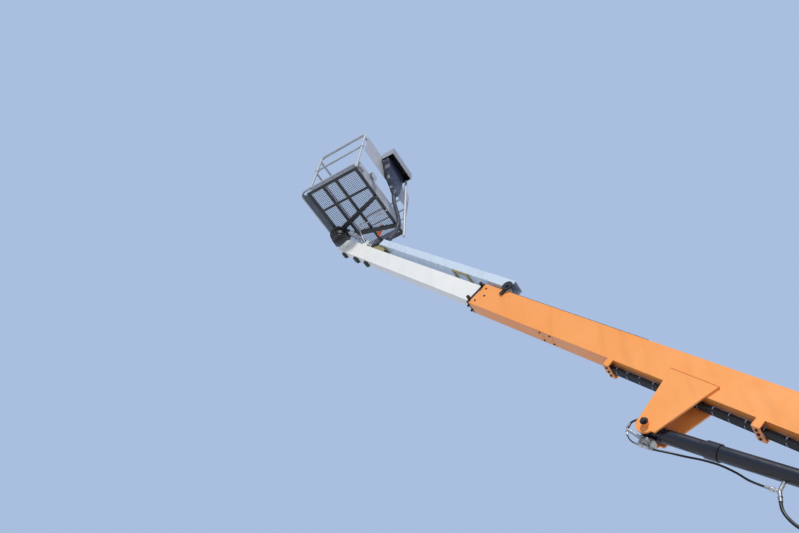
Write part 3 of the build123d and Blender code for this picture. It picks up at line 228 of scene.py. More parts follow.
def bar(bm, matrix, size, bevel=0.0, segments=2):
    """A block of the given size in metres, with its edges rounded if bevel is given."""
    made = bmesh.ops.create_cube(bm, size=1.0, matrix=matrix @ Matrix.Diagonal((*size, 1.0)))
    if bevel > 0:
        bmesh.ops.bevel(bm, geom=edges_of(made), offset=bevel, offset_type="OFFSET", segments=segments,
                        profile=0.5, affect="EDGES", material=-1)


def round_bar(bm, matrix, radius, length, sides=20, end_radius=None):
    """A capped round bar along the matrix's Z."""
    tip = radius if end_radius is None else end_radius
    bmesh.ops.create_cone(bm, cap_ends=True, segments=sides, radius1=radius, radius2=tip, depth=length,
                          matrix=matrix)


def bolt(bm, matrix, across, head=0.6, washer=True):
    """A hexagon head with its washer, standing on the matrix's XY plane."""
    lift = 0.0
    if washer:
        lift = across * WASHER_HEIGHT
        round_bar(bm, matrix @ shift(0, 0, lift / 2), across * WASHER_RADIUS, lift, 24)
    height = across * head
    round_bar(bm, matrix @ shift(0, 0, lift + height * 0.38), across * HEX_RADIUS, height * 0.76, 6)
    crown = matrix @ shift(0, 0, lift + height * 0.88)
    round_bar(bm, crown, across * HEX_RADIUS, height * 0.24, 6, across * 0.47)


def towards(point, direction):
    """A matrix at a point whose Z looks along a direction."""
    return Matrix.Translation(point) @ Vector(direction).to_track_quat("Z", "Y").to_matrix().to_4x4()


def lathe(bm, outline, centre, steps):
    """Spins an outline of (radius, place along Y) about the Y axis through a centre."""
    chain = [bm.verts.new(centre + Vector((radius, along, 0.0))) for radius, along in outline]
    edges = [bm.edges.new(pair) for pair in zip(chain, chain[1:])]
    bmesh.ops.spin(bm, geom=chain + edges, cent=centre, axis=(0, 1, 0), angle=math.tau, steps=steps,
                   use_merge=True, use_duplicate=False)


def ring(bm, matrix, radius, sides):
    made = bmesh.ops.create_circle(bm, segments=sides, radius=radius, matrix=matrix, cap_ends=False)
    return edges_of(made)


def skin(bm, rings, endless=False):
    """Bridges each ring to the next; the ends are capped, or joined to each other if it is endless."""
    for first, second in zip(rings, rings[1:] + (rings[:1] if endless else [])):
        bmesh.ops.bridge_loops(bm, edges=first + second)
    if not endless:
        for edges in (rings[0], rings[-1]):
            bmesh.ops.contextual_create(bm, geom=edges)


def bead(bm, first, last, radius, pitch):
    """A weld: a row of flattened drops from one place on the boom to another."""
    start = boom_at(*first).translation
    run = boom_at(*last).translation - start
    count = max(2, int(run.length / pitch))
    for k in range(count + 1):
        place = Matrix.Translation(start + run * (k / count))
        turn = run.to_track_quat("X", "Z").to_matrix().to_4x4()
        bmesh.ops.create_uvsphere(bm, u_segments=8, v_segments=5, radius=radius,
                                  matrix=place @ turn @ Matrix.Diagonal((0.8, 1.0, 0.8, 1.0)))


# %% [markdown]
# A painted steel surface outdoors is never one flat colour. Sun fades it in broad patches, rain leaves
# faint streaks down it, dust settles where it faces up and the paint is thin on the edges. Each of
# those is a mask, made from noise on the object's own coordinates, from the way the surface faces, or
# from the difference between the sharp and a rounded normal, which is large only at an edge.

# %% Masks that the finishes share
def start_finish(name):
    material = bpy.data.materials.new(name)
    material.use_nodes = True
    tree = material.node_tree
    tree.nodes.clear()
    shader = add(tree, "ShaderNodeBsdfPrincipled")
    add(tree, "ShaderNodeOutputMaterial", {"Surface": shader.outputs[0]})
    return material, tree, shader


def linear(red, green, blue):
    """A colour given as it looks on screen, 0 to 255, as the shader wants it."""
    steps = [value / 255 for value in (red, green, blue)]
    return tuple(v / 12.92 if v <= 0.04045 else ((v + 0.055) / 1.055) ** 2.4 for v in steps) + (1.0,)


def object_coords(tree, stretch=(1, 1, 1)):
    coords = add(tree, "ShaderNodeTexCoord")
    return add(tree, "ShaderNodeMapping", {"Vector": coords.outputs["Object"], "Scale": stretch}).outputs[0]


def fit(tree, value, **ends):
    """Maps a value from one range to another; ends are from_min, from_max, to_min and to_max."""
    sockets = {key.replace("_", " ").title(): end for key, end in ends.items()}
    return add(tree, "ShaderNodeMapRange", {"Value": value, **sockets}).outputs[0]


def cloud(tree, scale, low, high, stretch=(1, 1, 1), detail=4.0):
    """Noise between 0 and 1 whose contrast is set by low and high."""
    texture = add(tree, "ShaderNodeTexNoise", {"Vector": object_coords(tree, stretch), "Scale": scale,
                                                "Detail": detail, "Roughness": 0.6})
    return fit(tree, texture.outputs[0], from_min=low, from_max=high)


def times(tree, a, b):
    return add(tree, "ShaderNodeMath", {0: a, 1: b}, operation="MULTIPLY").outputs[0]


def blend_colour(tree, mask, first, second):
    mix = add(tree, "ShaderNodeMix", {"Factor": mask}, data_type="RGBA")
    for socket, value in ((mix.inputs[6], first), (mix.inputs[7], second)):
        if isinstance(value, bpy.types.NodeSocket):
            tree.links.new(value, socket)
        else:
            socket.default_value = value
    return mix.outputs[2]


def facing_up(tree):
    normal = add(tree, "ShaderNodeNewGeometry").outputs["Normal"]
    height = add(tree, "ShaderNodeSeparateXYZ", {"Vector": normal}).outputs["Z"]
    return fit(tree, height, from_min=0.25, from_max=0.95)


def edge_wear(tree, radius):
    """Near 1 along sharp edges and 0 elsewhere."""
    rounded = add(tree, "ShaderNodeBevel", {"Radius": radius}, samples=4)
    sharp = add(tree, "ShaderNodeNewGeometry").outputs["Normal"]
    likeness = add(tree, "ShaderNodeVectorMath", {0: rounded.outputs[0], 1: sharp}, operation="DOT_PRODUCT")
    return fit(tree, likeness.outputs["Value"], from_min=0.985, from_max=0.86)


def soft_bump(tree, height, strength, distance, edge_radius=0.0):
    """A bump, laid over a normal that rounds the edges if a radius is given."""
    bump = add(tree, "ShaderNodeBump", {"Height": height, "Strength": strength, "Distance": distance})
    if edge_radius > 0:
        rounded = add(tree, "ShaderNodeBevel", {"Radius": edge_radius}, samples=4)
        tree.links.new(rounded.outputs[0], bump.inputs["Normal"])
    return bump.outputs[0]


# %% [markdown]
# Sprayed machine paint has a hard gloss with a fine orange-peel ripple. Its colour is mixed in four
# steps: the fresh colour, the faded one in broad clouds, grime in long streaks, dust on top, and at
# last chips on the edges that show the primer. The same recipe with other colours serves every coat.

# %% Paint
DUST_TONE = (176, 164, 146)
PRIMER_TONE = (92, 74, 66)
GRIME_SHADE = 0.42
COAT_WEIGHT = 0.12
COAT_ROUGHNESS = 0.3


def paint(name, fresh, faded, rough=0.34, grime=0.25, dust=0.35, chips=0.5, edge=0.004):
    material, tree, shader = start_finish(name)
    colour = blend_colour(tree, cloud(tree, 1.3, 0.35, 0.7), linear(*fresh), linear(*faded))
    streaks = times(tree, cloud(tree, 5.0, 0.5, 0.78, (2.2, 2.2, 0.25)), grime)
    colour = blend_colour(tree, streaks, colour, linear(*(c * GRIME_SHADE for c in fresh)))
    settled = times(tree, facing_up(tree), cloud(tree, 7.0, 0.3, 0.75))
    colour = blend_colour(tree, times(tree, settled, dust), colour, linear(*DUST_TONE))
    worn = times(tree, edge_wear(tree, edge), cloud(tree, 26.0, 0.46, 0.62))
    colour = blend_colour(tree, times(tree, worn, chips), colour, linear(*PRIMER_TONE))
    tree.links.new(colour, shader.inputs["Base Color"])
    gloss = fit(tree, cloud(tree, 9.0, 0.3, 0.75), to_min=rough - 0.06, to_max=rough + 0.14)
    tree.links.new(gloss, shader.inputs["Roughness"])
    shader.inputs["Coat Weight"].default_value = COAT_WEIGHT
    shader.inputs["Coat Roughness"].default_value = COAT_ROUGHNESS
    peel = cloud(tree, 260.0, 0.2, 0.8, detail=1.0)
    tree.links.new(soft_bump(tree, peel, 0.10, 0.0006, edge * 0.6), shader.inputs["Normal"])
    return material


orange = paint("orange_paint", (249, 158, 76), (250, 167, 92), grime=0.14, dust=0.22, chips=0.3)
white = paint("white_paint", (240, 240, 238), (232, 234, 234), grime=0.10, dust=0.22, chips=0.25)
dark = paint("chassis_paint", (52, 54, 58), (66, 67, 70), rough=0.45, dust=0.55, grime=0.3)
grey = paint("basket_paint", (172, 176, 188), (186, 190, 200), grime=0.15, dust=0.25, chips=0.15, edge=0.002)
sheet_grey = paint("sheet_paint", (176, 180, 194), (186, 190, 202), grime=0.12, dust=0.25, chips=0.0,
                   edge=0.001)
floor_black = paint("frame_black", (34, 35, 40), (44, 45, 50), rough=0.42, dust=0.3, chips=0.4)
# the duct's pale grey paint, with a painted reflection of blue sky in its tint
duct_grey_and_sky_tint = paint("duct_grey_and_sky_tint", (206, 222, 240), (198, 214, 232), rough=0.28, grime=0.1, dust=0.15,
                  chips=0.0)
olive = paint("olive_paint", (148, 138, 92), (166, 154, 104), rough=0.4, grime=0.3, chips=0.4)
cylinder_black = paint("cylinder_black", (22, 24, 36), (27, 30, 44), rough=0.22, grime=0.1, dust=0.3,
                       chips=0.25)
rim_coat = paint("rim_coat", (222, 222, 218), (206, 206, 202), rough=0.38, grime=0.4, dust=0.4, chips=0.5)
red_orange = paint("rotator_orange", (224, 88, 40), (232, 104, 56), chips=0.4, grime=0.2)
print("paints from", orange.name, "to", red_orange.name)

# %% [markdown]
# The other finishes are simpler. Chrome is a smooth metal with hair-fine scratches along the rod.
# Rubber is dark and matt with dust in its pores, plastic a little shinier, and the iron of the engine
# is rough. Metals get their colour from the base colour with Metallic at 1.

# %% Metals, rubber and plastics
TARNISH_SHADE = 0.82


def bare_metal(name, tone, rough, scratch_stretch=(1, 1, 1), bump=0.05):
    material, tree, shader = start_finish(name)
    tarnish = linear(*(c * TARNISH_SHADE for c in tone))
    colour = blend_colour(tree, cloud(tree, 22.0, 0.35, 0.7), linear(*tone), tarnish)
    tree.links.new(colour, shader.inputs["Base Color"])
    shader.inputs["Metallic"].default_value = 1.0
    gloss = fit(tree, cloud(tree, 60.0, 0.3, 0.7, scratch_stretch), to_min=rough * 0.75, to_max=rough * 1.3)
    tree.links.new(gloss, shader.inputs["Roughness"])
    grain = cloud(tree, 140.0, 0.3, 0.7, scratch_stretch, detail=2.0)
    tree.links.new(soft_bump(tree, grain, bump, 0.0004, 0.0015), shader.inputs["Normal"])
    return material


def matt(name, tone, dusty, rough, grain_scale, bump, dust=0.5, edge_radius=0.002):
    material, tree, shader = start_finish(name)
    settled = times(tree, cloud(tree, 11.0, 0.35, 0.75), dust)
    colour = blend_colour(tree, settled, linear(*tone), linear(*dusty))
    tree.links.new(colour, shader.inputs["Base Color"])
    gloss = fit(tree, cloud(tree, 17.0, 0.3, 0.7), to_min=rough - 0.08, to_max=rough + 0.1)
    tree.links.new(gloss, shader.inputs["Roughness"])
    grain = cloud(tree, grain_scale, 0.3, 0.7, detail=2.0)
    tree.links.new(soft_bump(tree, grain, bump, 0.0008, edge_radius), shader.inputs["Normal"])
    return material


chrome = bare_metal("chrome", (218, 220, 224), 0.09, (1, 1, 0.05), 0.02)
steel = bare_metal("zinc_steel", (176, 178, 180), 0.34)
alloy = bare_metal("alloy_block", (214, 210, 206), 0.30)
mesh_wire = matt("mesh_wire", (20, 22, 30), (52, 54, 60), 0.42, 160.0, 0.15, 0.25)
rubber = matt("tyre_rubber", (27, 27, 29), (92, 84, 74), 0.78, 300.0, 0.35, 0.55, 0.003)
hose_skin = matt("hose_rubber", (17, 18, 22), (52, 52, 54), 0.46, 420.0, 0.20, 0.3)
black_plastic = matt("black_plastic", (22, 23, 26), (58, 58, 60), 0.42, 380.0, 0.12, 0.3)
conduit_skin = matt("conduit_plastic", (62, 66, 82), (108, 112, 126), 0.48, 300.0, 0.12, 0.45)
boot_skin = matt("boot_vinyl", (30, 35, 56), (72, 78, 98), 0.34, 210.0, 0.25, 0.4)
box_plastic = matt("console_plastic", (150, 154, 166), (176, 178, 184), 0.44, 420.0, 0.10, 0.4)
iron = matt("engine_iron", (58, 58, 60), (96, 90, 82), 0.66, 120.0, 0.5, 0.5)
tank_skin = matt("tank_plastic", (44, 44, 46), (84, 82, 78), 0.5, 260.0, 0.15, 0.4)
tie_plastic = matt("tie_plastic", (176, 186, 214), (198, 204, 220), 0.4, 300.0, 0.05, 0.3)
pale_hose = matt("pale_hose", (196, 198, 206), (164, 162, 158), 0.5, 300.0, 0.12, 0.4)
seam_white = matt("seam_white", (186, 204, 236), (170, 184, 210), 0.4, 200.0, 0.1, 0.3)
stop_red = matt("stop_red", (196, 30, 26), (170, 60, 50), 0.3, 200.0, 0.05, 0.2)

# %% [markdown]
# Each rigid piece keeps its own mesh and only gets a finish. A table says which finish goes on which
# pieces, so a piece that was forgotten shows up at once: the last line names what is left over, which
# are the ones that this file makes anew.

# %% Finishes on the rigid pieces
SHARP_FROM = math.radians(32)
DRESS = (
    (orange, ("outer_boom", "lower_arm", "upper_arm", "riser_knuckle", "upright", "cover_left", "cover_right",
              "door_left", "door_right", "lower_links", "upper_links")),
    (white, ("fly_boom",)),
    (dark, ("chassis_frame", "rear_axle", "front_axle", "steer_knuckle_left", "steer_knuckle_right",
            "tie_rod", "turret_frame", "turret_decks", "slew_ring", "counterweight", "level_yoke")),
    (floor_black, ("basket_beams", "floor_frame", "rotator")),
    (cylinder_black, ("lift_barrel", "riser_barrels")),
    (chrome, ("lift_rod", "riser_rods", "level_rod")),
    (grey, ("basket_rails", "gravity_bar", "level_barrel", "guard_tube")),
    (sheet_grey, ("kick_plates", "rear_panel")),
    (duct_grey_and_sky_tint, ("cable_duct",)),
    (olive, ("duct_brackets",)),
    (rim_coat, ("rim_fl", "rim_fr", "rim_rl", "rim_rr")),
    (black_plastic, ("wear_pads", "drag_chain", "duct_roller", "tip_pads")),
    (hose_skin, ("hose_bundle", "ram_hoses")),
    (alloy, ("valve_block",)),
    (box_plastic, ("console",)),
    (iron, ("engine_block",)),
    (tank_skin, ("tanks",)),
)


def dress():
    for finish, names in DRESS:
        for name in names:
            mesh = nodes[name].data
            mesh.materials.clear()
            mesh.materials.append(finish)
            mesh.shade_smooth()
            mesh.set_sharp_from_angle(angle=SHARP_FROM)
    return sorted(set(nodes) - {name for _, names in DRESS for name in names})


print("made new in the scene:", dress())

# %% [markdown]
# A tyre is an outline spun about the axle, with bars set round it in two staggered rows. The outline
# runs from bead to bead over rounded shoulders. Each bar starts as a bevelled block beside the axle,
# leans a little, and is turned round to its place, with a smaller block on the shoulder below it.
# The box of the tyre that it replaces gives the centre.

# %% Tyres
TYRE_OUTLINE = (
    (0.2185, 0.1005), (0.2360, 0.1035), (0.2420, 0.1130), (0.2620, 0.1270), (0.2900, 0.1350),
    (0.2950, 0.1380), (0.3020, 0.1380), (0.3070, 0.1350), (0.3400, 0.1385), (0.3700, 0.1340),
    (0.3880, 0.1200), (0.3960, 0.0980), (0.3980, 0.0600),
)
BAR_COUNT = 14
BAR_SLANT = math.radians(14)
BAR_PLACE = (0.4000, 0.0655)
BAR_SIZE = (0.038, 0.124, 0.042)
SHOULDER_PLACE = (0.372, 0.126)
SHOULDER_SIZE = (0.05, 0.016, 0.034)
SHOULDER_TURN = 0.5
TYRE_STEPS = 84
WHEELS = ("fl", "fr", "rl", "rr")


def make_tyre(tag):
    low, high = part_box("tyre_" + tag)
    centre = (low + high) / 2
    bm = bmesh.new()
    outline = list(TYRE_OUTLINE) + [(radius, -along) for radius, along in reversed(TYRE_OUTLINE)]
    lathe(bm, outline, centre, TYRE_STEPS)
    bead_ring = [edge for edge in bm.edges if edge.is_boundary]
    bmesh.ops.bridge_loops(bm, edges=bead_ring)
    for k in range(BAR_COUNT):
        for side, phase in ((1, 0.0), (-1, 0.5)):
            turn = Matrix.Translation(centre) @ Matrix.Rotation((k + phase) * math.tau / BAR_COUNT, 4, "Y")
            tread = turn @ shift(BAR_PLACE[0], side * BAR_PLACE[1], 0)
            bar(bm, tread @ Matrix.Rotation(side * BAR_SLANT, 4, "X"), BAR_SIZE, 0.006, 2)
            shoulder = turn @ shift(SHOULDER_PLACE[0], side * SHOULDER_PLACE[1], 0)
            bar(bm, shoulder @ Matrix.Rotation(side * SHOULDER_TURN, 4, "Z"), SHOULDER_SIZE, 0.005, 1)
    piece = keep(bm, "tyre_tread_" + tag, "wheel_" + tag, rubber, smooth=38)
    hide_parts("tyre_" + tag)
    return len(piece.data.polygons)


print("faces in each tyre:", [make_tyre(tag) for tag in WHEELS][0])

# %% [markdown]
# Each wheel is held by a ring of studs with nuts round a hub cap. The nuts repeat round the axle, so
# one loop places them on the web of the rim. The cap is an outline spun about the axle.

# %% Wheel nuts and hub caps
NUT_COUNT = 9
NUT_RING = 0.097
NUT_ACROSS = 0.022
STUD_OUT = 0.026
WEB_DEPTH = 0.062
HUB_CAP = (
    (0.072, 0.0205), (0.072, 0.052), (0.067, 0.058), (0.040, 0.060), (0.036, 0.078), (0.028, 0.084),
    (0.0001, 0.085),
)


def make_hub(tag):
    low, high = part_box("rim_" + tag)
    centre = (low + high) / 2
    side = 1 if centre.y > 0 else -1
    bm = bmesh.new()
    for k in range(NUT_COUNT):
        spin = Matrix.Rotation(k * math.tau / NUT_COUNT, 4, "Y")
        place = centre + spin @ Vector((NUT_RING, side * WEB_DEPTH, 0))
        bolt(bm, towards(place, (0, side, 0)), NUT_ACROSS, 1.0)
        stud = place + Vector((0, side * STUD_OUT, 0))
        round_bar(bm, towards(stud, (0, side, 0)), 0.006, 0.014, 12)
    lathe(bm, [(radius, side * along) for radius, along in HUB_CAP], centre, 40)
    piece = keep(bm, "hub_" + tag, "wheel_" + tag, steel, smooth=32)


for tag in WHEELS:
    make_hub(tag)
print("nuts on each wheel:", NUT_COUNT)

# %% [markdown]
# The basket's floor is a see-through grid of thin bars inside a narrow frame. Two loops make it, one
# for each direction, with the second a bar's thickness lower, as if laid on each other and welded.
# Bars with four sides are enough, because each is only a few millimetres wide.

# %% Basket floor
WIRE = 0.0046
WIRE_PITCH = 0.025
WIRE_INSET = 0.01
FRAME_BAR = 0.026


def make_floor_grid():
    low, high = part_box("floor_mesh")
    middle = (low + high) / 2
    size = high - low
    bm = bmesh.new()
    for k in range(1, int(size.x / WIRE_PITCH) + 1):
        x = low.x + k * WIRE_PITCH
        bar(bm, shift(x, middle.y, high.z - 0.0010), (WIRE, size.y - WIRE_INSET, 0.0018))
    for k in range(1, int(size.y / WIRE_PITCH) + 1):
        y = low.y + k * WIRE_PITCH
        bar(bm, shift(middle.x, y, low.z + 0.0012), (size.x - WIRE_INSET, WIRE, 0.0020))
    for y in (low.y + FRAME_BAR / 2, high.y - FRAME_BAR / 2):
        bar(bm, shift(middle.x, y, middle.z), (size.x, FRAME_BAR, size.z))
    for x in (low.x + FRAME_BAR / 2, high.x - FRAME_BAR / 2):
        bar(bm, shift(x, middle.y, middle.z), (FRAME_BAR, size.y - 2 * FRAME_BAR, size.z))
    piece = keep(bm, "floor_grid", "basket", mesh_wire, merge=False)
    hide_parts("floor_mesh")
    return len(piece.data.polygons)


print("faces in the floor grid:", make_floor_grid())

# %% [markdown]
# A corrugated conduit carries the control lines from the console down beside the boom's tip. Its line is
# a smooth curve along the model's route. Rings of alternating radius, bridged one to the next, give the
# ribs. One band clamps it at the boot's neck and two near its low bend. Places on the basket are
# easiest to give from the rear posts and the floor, so one function turns those into the model's
# directions.

# %% Conduit
MACHINE_SHIFT = -1482.5
REAR_POST = 3505.0 + MACHINE_SHIFT
FLOOR_LEVEL = 8470.0
CONDUIT_ROUTE = (
    (127, 30, 229), (127, 30, 120), (146, -40, -60), (164, -118, -240), (150, -139, -410),
    (105, -131, -560), (62, -109, -690),
)
RIB_PITCH = 0.011
RIB_OUT = 0.029
RIB_IN = 0.0235
BAND_SHARES = (0.03, 0.66, 0.70)
BAND_HALF = 0.011


def on_basket(behind, y, up):
    """A place in metres from millimetres behind the rear posts, across, and above the floor."""
    return Vector((REAR_POST - behind, y, FLOOR_LEVEL + up)) * MM


def smooth_line(points, name):
    """Points along a NURBS that starts and ends on the given points and is drawn to the others."""
    curve = bpy.data.curves.new(name, "CURVE")
    curve.dimensions = "3D"
    spline = curve.splines.new("NURBS")
    spline.points.add(len(points) - 1)
    for slot, point in zip(spline.points, points):
        slot.co = (*point, 1.0)
    spline.order_u = 3
    spline.use_endpoint_u = True
    spline.resolution_u = 24
    holder = bpy.data.objects.new(name, curve)
    scene.collection.objects.link(holder)
    bpy.context.view_layer.update()
    mesh = bpy.data.meshes.new_from_object(holder.evaluated_get(bpy.context.evaluated_depsgraph_get()))
    line = [vert.co.copy() for vert in mesh.vertices]
    bpy.data.objects.remove(holder)
    bpy.data.meshes.remove(mesh)
    return line


def walk(line, pitch):
    """Points at an even pitch along a line, each with the direction there."""
    steps = []
    travelled, due = 0.0, 0.0
    for a, b in zip(line, line[1:]):
        length = (b - a).length
        while length > 0 and due <= travelled + length:
            steps.append((a.lerp(b, (due - travelled) / length), (b - a).normalized()))
            due += pitch
        travelled += length
    return steps


def ringed_tube(bm, line, pitch, radii, sides):
    """A closed tube of rings along a line; radii repeat from ring to ring."""
    rings = []
    for k, (place, ahead) in enumerate(walk(line, pitch)):
        rings.append(ring(bm, towards(place, ahead), radii[k % len(radii)], sides))
    skin(bm, rings)


def make_conduit():
    line = smooth_line([on_basket(*point) for point in CONDUIT_ROUTE], "conduit_line")
    bm = bmesh.new()
    ringed_tube(bm, line, RIB_PITCH / 2, (RIB_OUT, RIB_OUT, RIB_IN, RIB_IN), 20)
    piece = keep(bm, "conduit_hose", "basket", conduit_skin, smooth=50)
    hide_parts("conduit")
    bm = bmesh.new()
    steps = walk(line, 0.004)
    for share in BAND_SHARES:
        place, ahead = steps[int(share * len(steps))]
        ends = [place - ahead * BAND_HALF, place + ahead * BAND_HALF]
        ringed_tube(bm, ends, 0.0219, (RIB_OUT + 0.0018,), 28)
    bands = keep(bm, "conduit_bands", "basket", black_plastic, smooth=40)
    return len(line)


print("points on the conduit's line:", make_conduit())

# %% [markdown]
# Under the console hangs a dark vinyl boot that gathers the control lines. It is a stack of rings: each
# is a rounded rectangle, squarer at the top where it is clamped to the console and round at the neck
# that grips the conduit. Waves round the rings press folds into it, shallow at the top and deep where
# the skin is gathered, and a little noise keeps them uneven.

# %% Console boot
BOOT_TABLE = (
    # share of the height, behind the rear posts, across, half depth, half width, squareness, fold
    (0.00, 127, 30, 38, 38, 2.0, 1.5),
    (0.05, 127, 30, 34, 34, 2.0, 1.0),
    (0.10, 123, 30, 42, 56, 2.2, 7.0),
    (0.19, 113, 27, 45, 96, 2.6, 12.0),
    (0.43, 98, 49, 55, 160, 3.0, 10.0),
    (0.75, 95, 85, 61, 198, 4.0, 6.0),
    (0.97, 94, 110, 63, 219, 7.0, 2.0),
    (1.00, 94, 110, 63, 219, 7.0, 0.0),
)
BOOT_LOW, BOOT_HIGH = 230.0, 929.7
BOOT_RINGS = 60
BOOT_SIDES = 112
FOLD_COUNT = 11


def boot_row(share):
    """The boot's measures at a share of its height, between the table's rows."""
    for low, high in zip(BOOT_TABLE, BOOT_TABLE[1:]):
        if share <= high[0]:
            part = (share - low[0]) / (high[0] - low[0])
            part = part * part * (3 - 2 * part)
            return [a + (b - a) * part for a, b in zip(low[1:], high[1:])]
    return BOOT_TABLE[-1][1:]


def boot_point(angle, share):
    behind, y, half_x, half_y, square, fold = boot_row(share)
    c, s = math.cos(angle), math.sin(angle)
    x_out = half_x * math.copysign(abs(c) ** (2 / square), c)
    y_out = half_y * math.copysign(abs(s) ** (2 / square), s)
    sway = 0.9 * noise.noise(Vector((c * 1.7, s * 1.7, share * 2.4)))
    wave = 0.5 + 0.5 * math.sin(FOLD_COUNT * angle + 5.0 * sway + 2.2 * share)
    crease = 0.5 + 0.5 * noise.noise(Vector((c * 6.0, s * 6.0, share * 13.0)))
    inward = fold * (0.75 * wave ** 1.6 + 0.35 * crease)
    away = Vector((x_out / half_x ** 2, y_out / half_y ** 2)).normalized()
    return on_basket(behind - x_out + away.x * inward, y + y_out - away.y * inward,
                     BOOT_LOW + (BOOT_HIGH - BOOT_LOW) * share)


def make_boot():
    bm = bmesh.new()
    rings = []
    for k in range(BOOT_RINGS + 1):
        made = bmesh.ops.create_circle(bm, segments=BOOT_SIDES, radius=1.0, cap_ends=False)
        for vert in made["verts"]:
            vert.co = boot_point(math.atan2(vert.co.y, vert.co.x), k / BOOT_RINGS)
        rings.append(edges_of(made))
    skin(bm, rings)
    piece = keep(bm, "console_boot", "basket", boot_skin, smooth=60)
    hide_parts("console_cover")
    return len(piece.data.polygons)


print("faces in the boot:", make_boot())

# %% [markdown]
# The console is a shallow tray turned upside down. Its inside is in shade, and a thin black lining against
# its walls and roof paints that shade in. On top stand the levers, each a rubber gaiter with a stick and a
# knob, a round stop button on a collar, and a row of small toggle switches that lean one way and the other
# in turn.

# %% Console fittings
TRAY_BACK, TRAY_FRONT = 243.0, 35.0
TRAY_FAR, TRAY_NEAR = -160.0, 350.0
TRAY_LOW, TRAY_TOP, TRAY_WALL = 930.0, 1090.0, 10.0
SHADE_LINING = 0.0012
LEVERS = ((139, -70), (139, 262))
# height over the tray and radius, in millimetres
GAITER = ((0, 30), (7, 30), (9, 24), (15, 25), (18, 19), (24, 20), (27, 13), (32, 8))
TOGGLES = 7
TOGGLE_ROW, TOGGLE_FIRST, TOGGLE_STEP = 206, -120, 62
TOGGLE_LEAN = 0.25
STOP_PLACE = (120, 96)
STOP_STEPS = (
    # middle over the tray, height, lower radius, upper radius, sides
    (0.008, 0.016, 0.013, 0.013, 24), (0.022, 0.008, 0.021, 0.0225, 32), (0.030, 0.008, 0.0225, 0.014, 32),
)


# painted shade: a thin black sheet lines the tray's walls and roof, where the inside is only in shade
def make_tray_shade_lining():
    bm = bmesh.new()
    inset = TRAY_WALL + 0.8
    mid_x = (TRAY_BACK + TRAY_FRONT) / 2
    mid_y = (TRAY_FAR + TRAY_NEAR) / 2
    deep = TRAY_TOP - TRAY_LOW - TRAY_WALL - 6
    size_x = (TRAY_BACK - TRAY_FRONT - 2 * inset) * MM
    size_y = (TRAY_NEAR - TRAY_FAR - 2 * inset) * MM
    level = TRAY_LOW + 2 + deep / 2
    for y in (TRAY_FAR + inset, TRAY_NEAR - inset):
        bar(bm, Matrix.Translation(on_basket(mid_x, y, level)), (size_x, SHADE_LINING, deep * MM))
    for behind in (TRAY_BACK - inset, TRAY_FRONT + inset):
        bar(bm, Matrix.Translation(on_basket(behind, mid_y, level)), (SHADE_LINING, size_y, deep * MM))
    roof = TRAY_TOP - TRAY_WALL - 3.2
    bar(bm, Matrix.Translation(on_basket(mid_x, mid_y, roof)), (size_x, size_y, SHADE_LINING))
    piece = keep(bm, "console_shade_lining", "basket", black_plastic, merge=False)


def on_tray(behind, y):
    return Matrix.Translation(on_basket(behind, y, TRAY_TOP))


def make_levers():
    bm = bmesh.new()
    for behind, y in LEVERS:
        foot = on_tray(behind, y)
        skin(bm, [ring(bm, foot @ shift(0, 0, up * MM), radius * MM, 28) for up, radius in GAITER])
        round_bar(bm, foot @ shift(0, 0, 0.055), 0.0055, 0.06, 14)
        bmesh.ops.create_uvsphere(bm, u_segments=20, v_segments=12, radius=0.016,
                                  matrix=foot @ shift(0, 0, 0.092) @ Matrix.Diagonal((1, 1, 1.25, 1)))
    for k in range(TOGGLES):
        foot = on_tray(TOGGLE_ROW, TOGGLE_FIRST + TOGGLE_STEP * k)
        round_bar(bm, foot @ shift(0, 0, 0.003), 0.009, 0.006, 6)
        lean = Matrix.Rotation(TOGGLE_LEAN if k % 2 else -TOGGLE_LEAN, 4, "Y")
        round_bar(bm, foot @ lean @ shift(0, 0, 0.015), 0.003, 0.022, 10, 0.004)
    piece = keep(bm, "console_levers", "basket", black_plastic, smooth=40)


def make_stop_button():
    bm = bmesh.new()
    for up, height, low_radius, high_radius, sides in STOP_STEPS:
        round_bar(bm, on_tray(*STOP_PLACE) @ shift(0, 0, up), low_radius, height, sides, high_radius)
    button = keep(bm, "stop_button", "basket", stop_red, smooth=40)


make_tray_shade_lining()
make_levers()
make_stop_button()
print("console levers:", len(LEVERS), "toggles:", TOGGLES)

# %% [markdown]
# Five hoses run under the outer boom, held together by pale cable ties. A tie is a thin band round the
# whole bundle with a small square head. The bands follow the bundle's five-hose outline closely enough
# as flattened rings, and each sits at an uneven distance from the last, as ties put on by hand do.

# %% Cable ties
HOSE_MIDDLE = (0.0, -285.0)
TIE_PLACES = (1110, 1235, 1330, 1468, 1592, 1700, 1815, 1930, 2060, 2185, 2290, 2405, 2520, 2615)
TIE_LEAN = 0.12
TIE_HEAD = (0.007, 0.006, 0.006)
# place along the bundle and growth of the band's four rings, in millimetres
TIE_RINGS = ((-2.2, 0.0), (-2.2, 1.3), (2.2, 1.3), (2.2, 0.0))
BUNDLE_HALF = (37.5, 24.5)


def make_ties():
    bm = bmesh.new()
    shaker = random.Random(4)
    for s in TIE_PLACES:
        lean = Matrix.Rotation(shaker.uniform(-TIE_LEAN, TIE_LEAN), 4, "Z")
        place = boom_at(s, *HOSE_MIDDLE) @ lean @ Matrix.Rotation(math.pi / 2, 4, "Y")
        wide, tall = BUNDLE_HALF[0] * MM, BUNDLE_HALF[1] * MM
        rings = []
        for along, grow in TIE_RINGS:
            size = Matrix.Diagonal((tall + grow * MM, wide + grow * MM, 1, 1))
            rings.append(ring(bm, place @ shift(0, 0, along * MM) @ size, 1.0, 28))
        skin(bm, rings, endless=True)
        head_at = shaker.choice((1, -1))
        bar(bm, place @ shift(0, head_at * (wide + 0.002), 0), TIE_HEAD, 0.001, 1)
    piece = keep(bm, "cable_ties", "main_boom", tie_plastic, smooth=40)


make_ties()
print("cable ties:", len(TIE_PLACES))

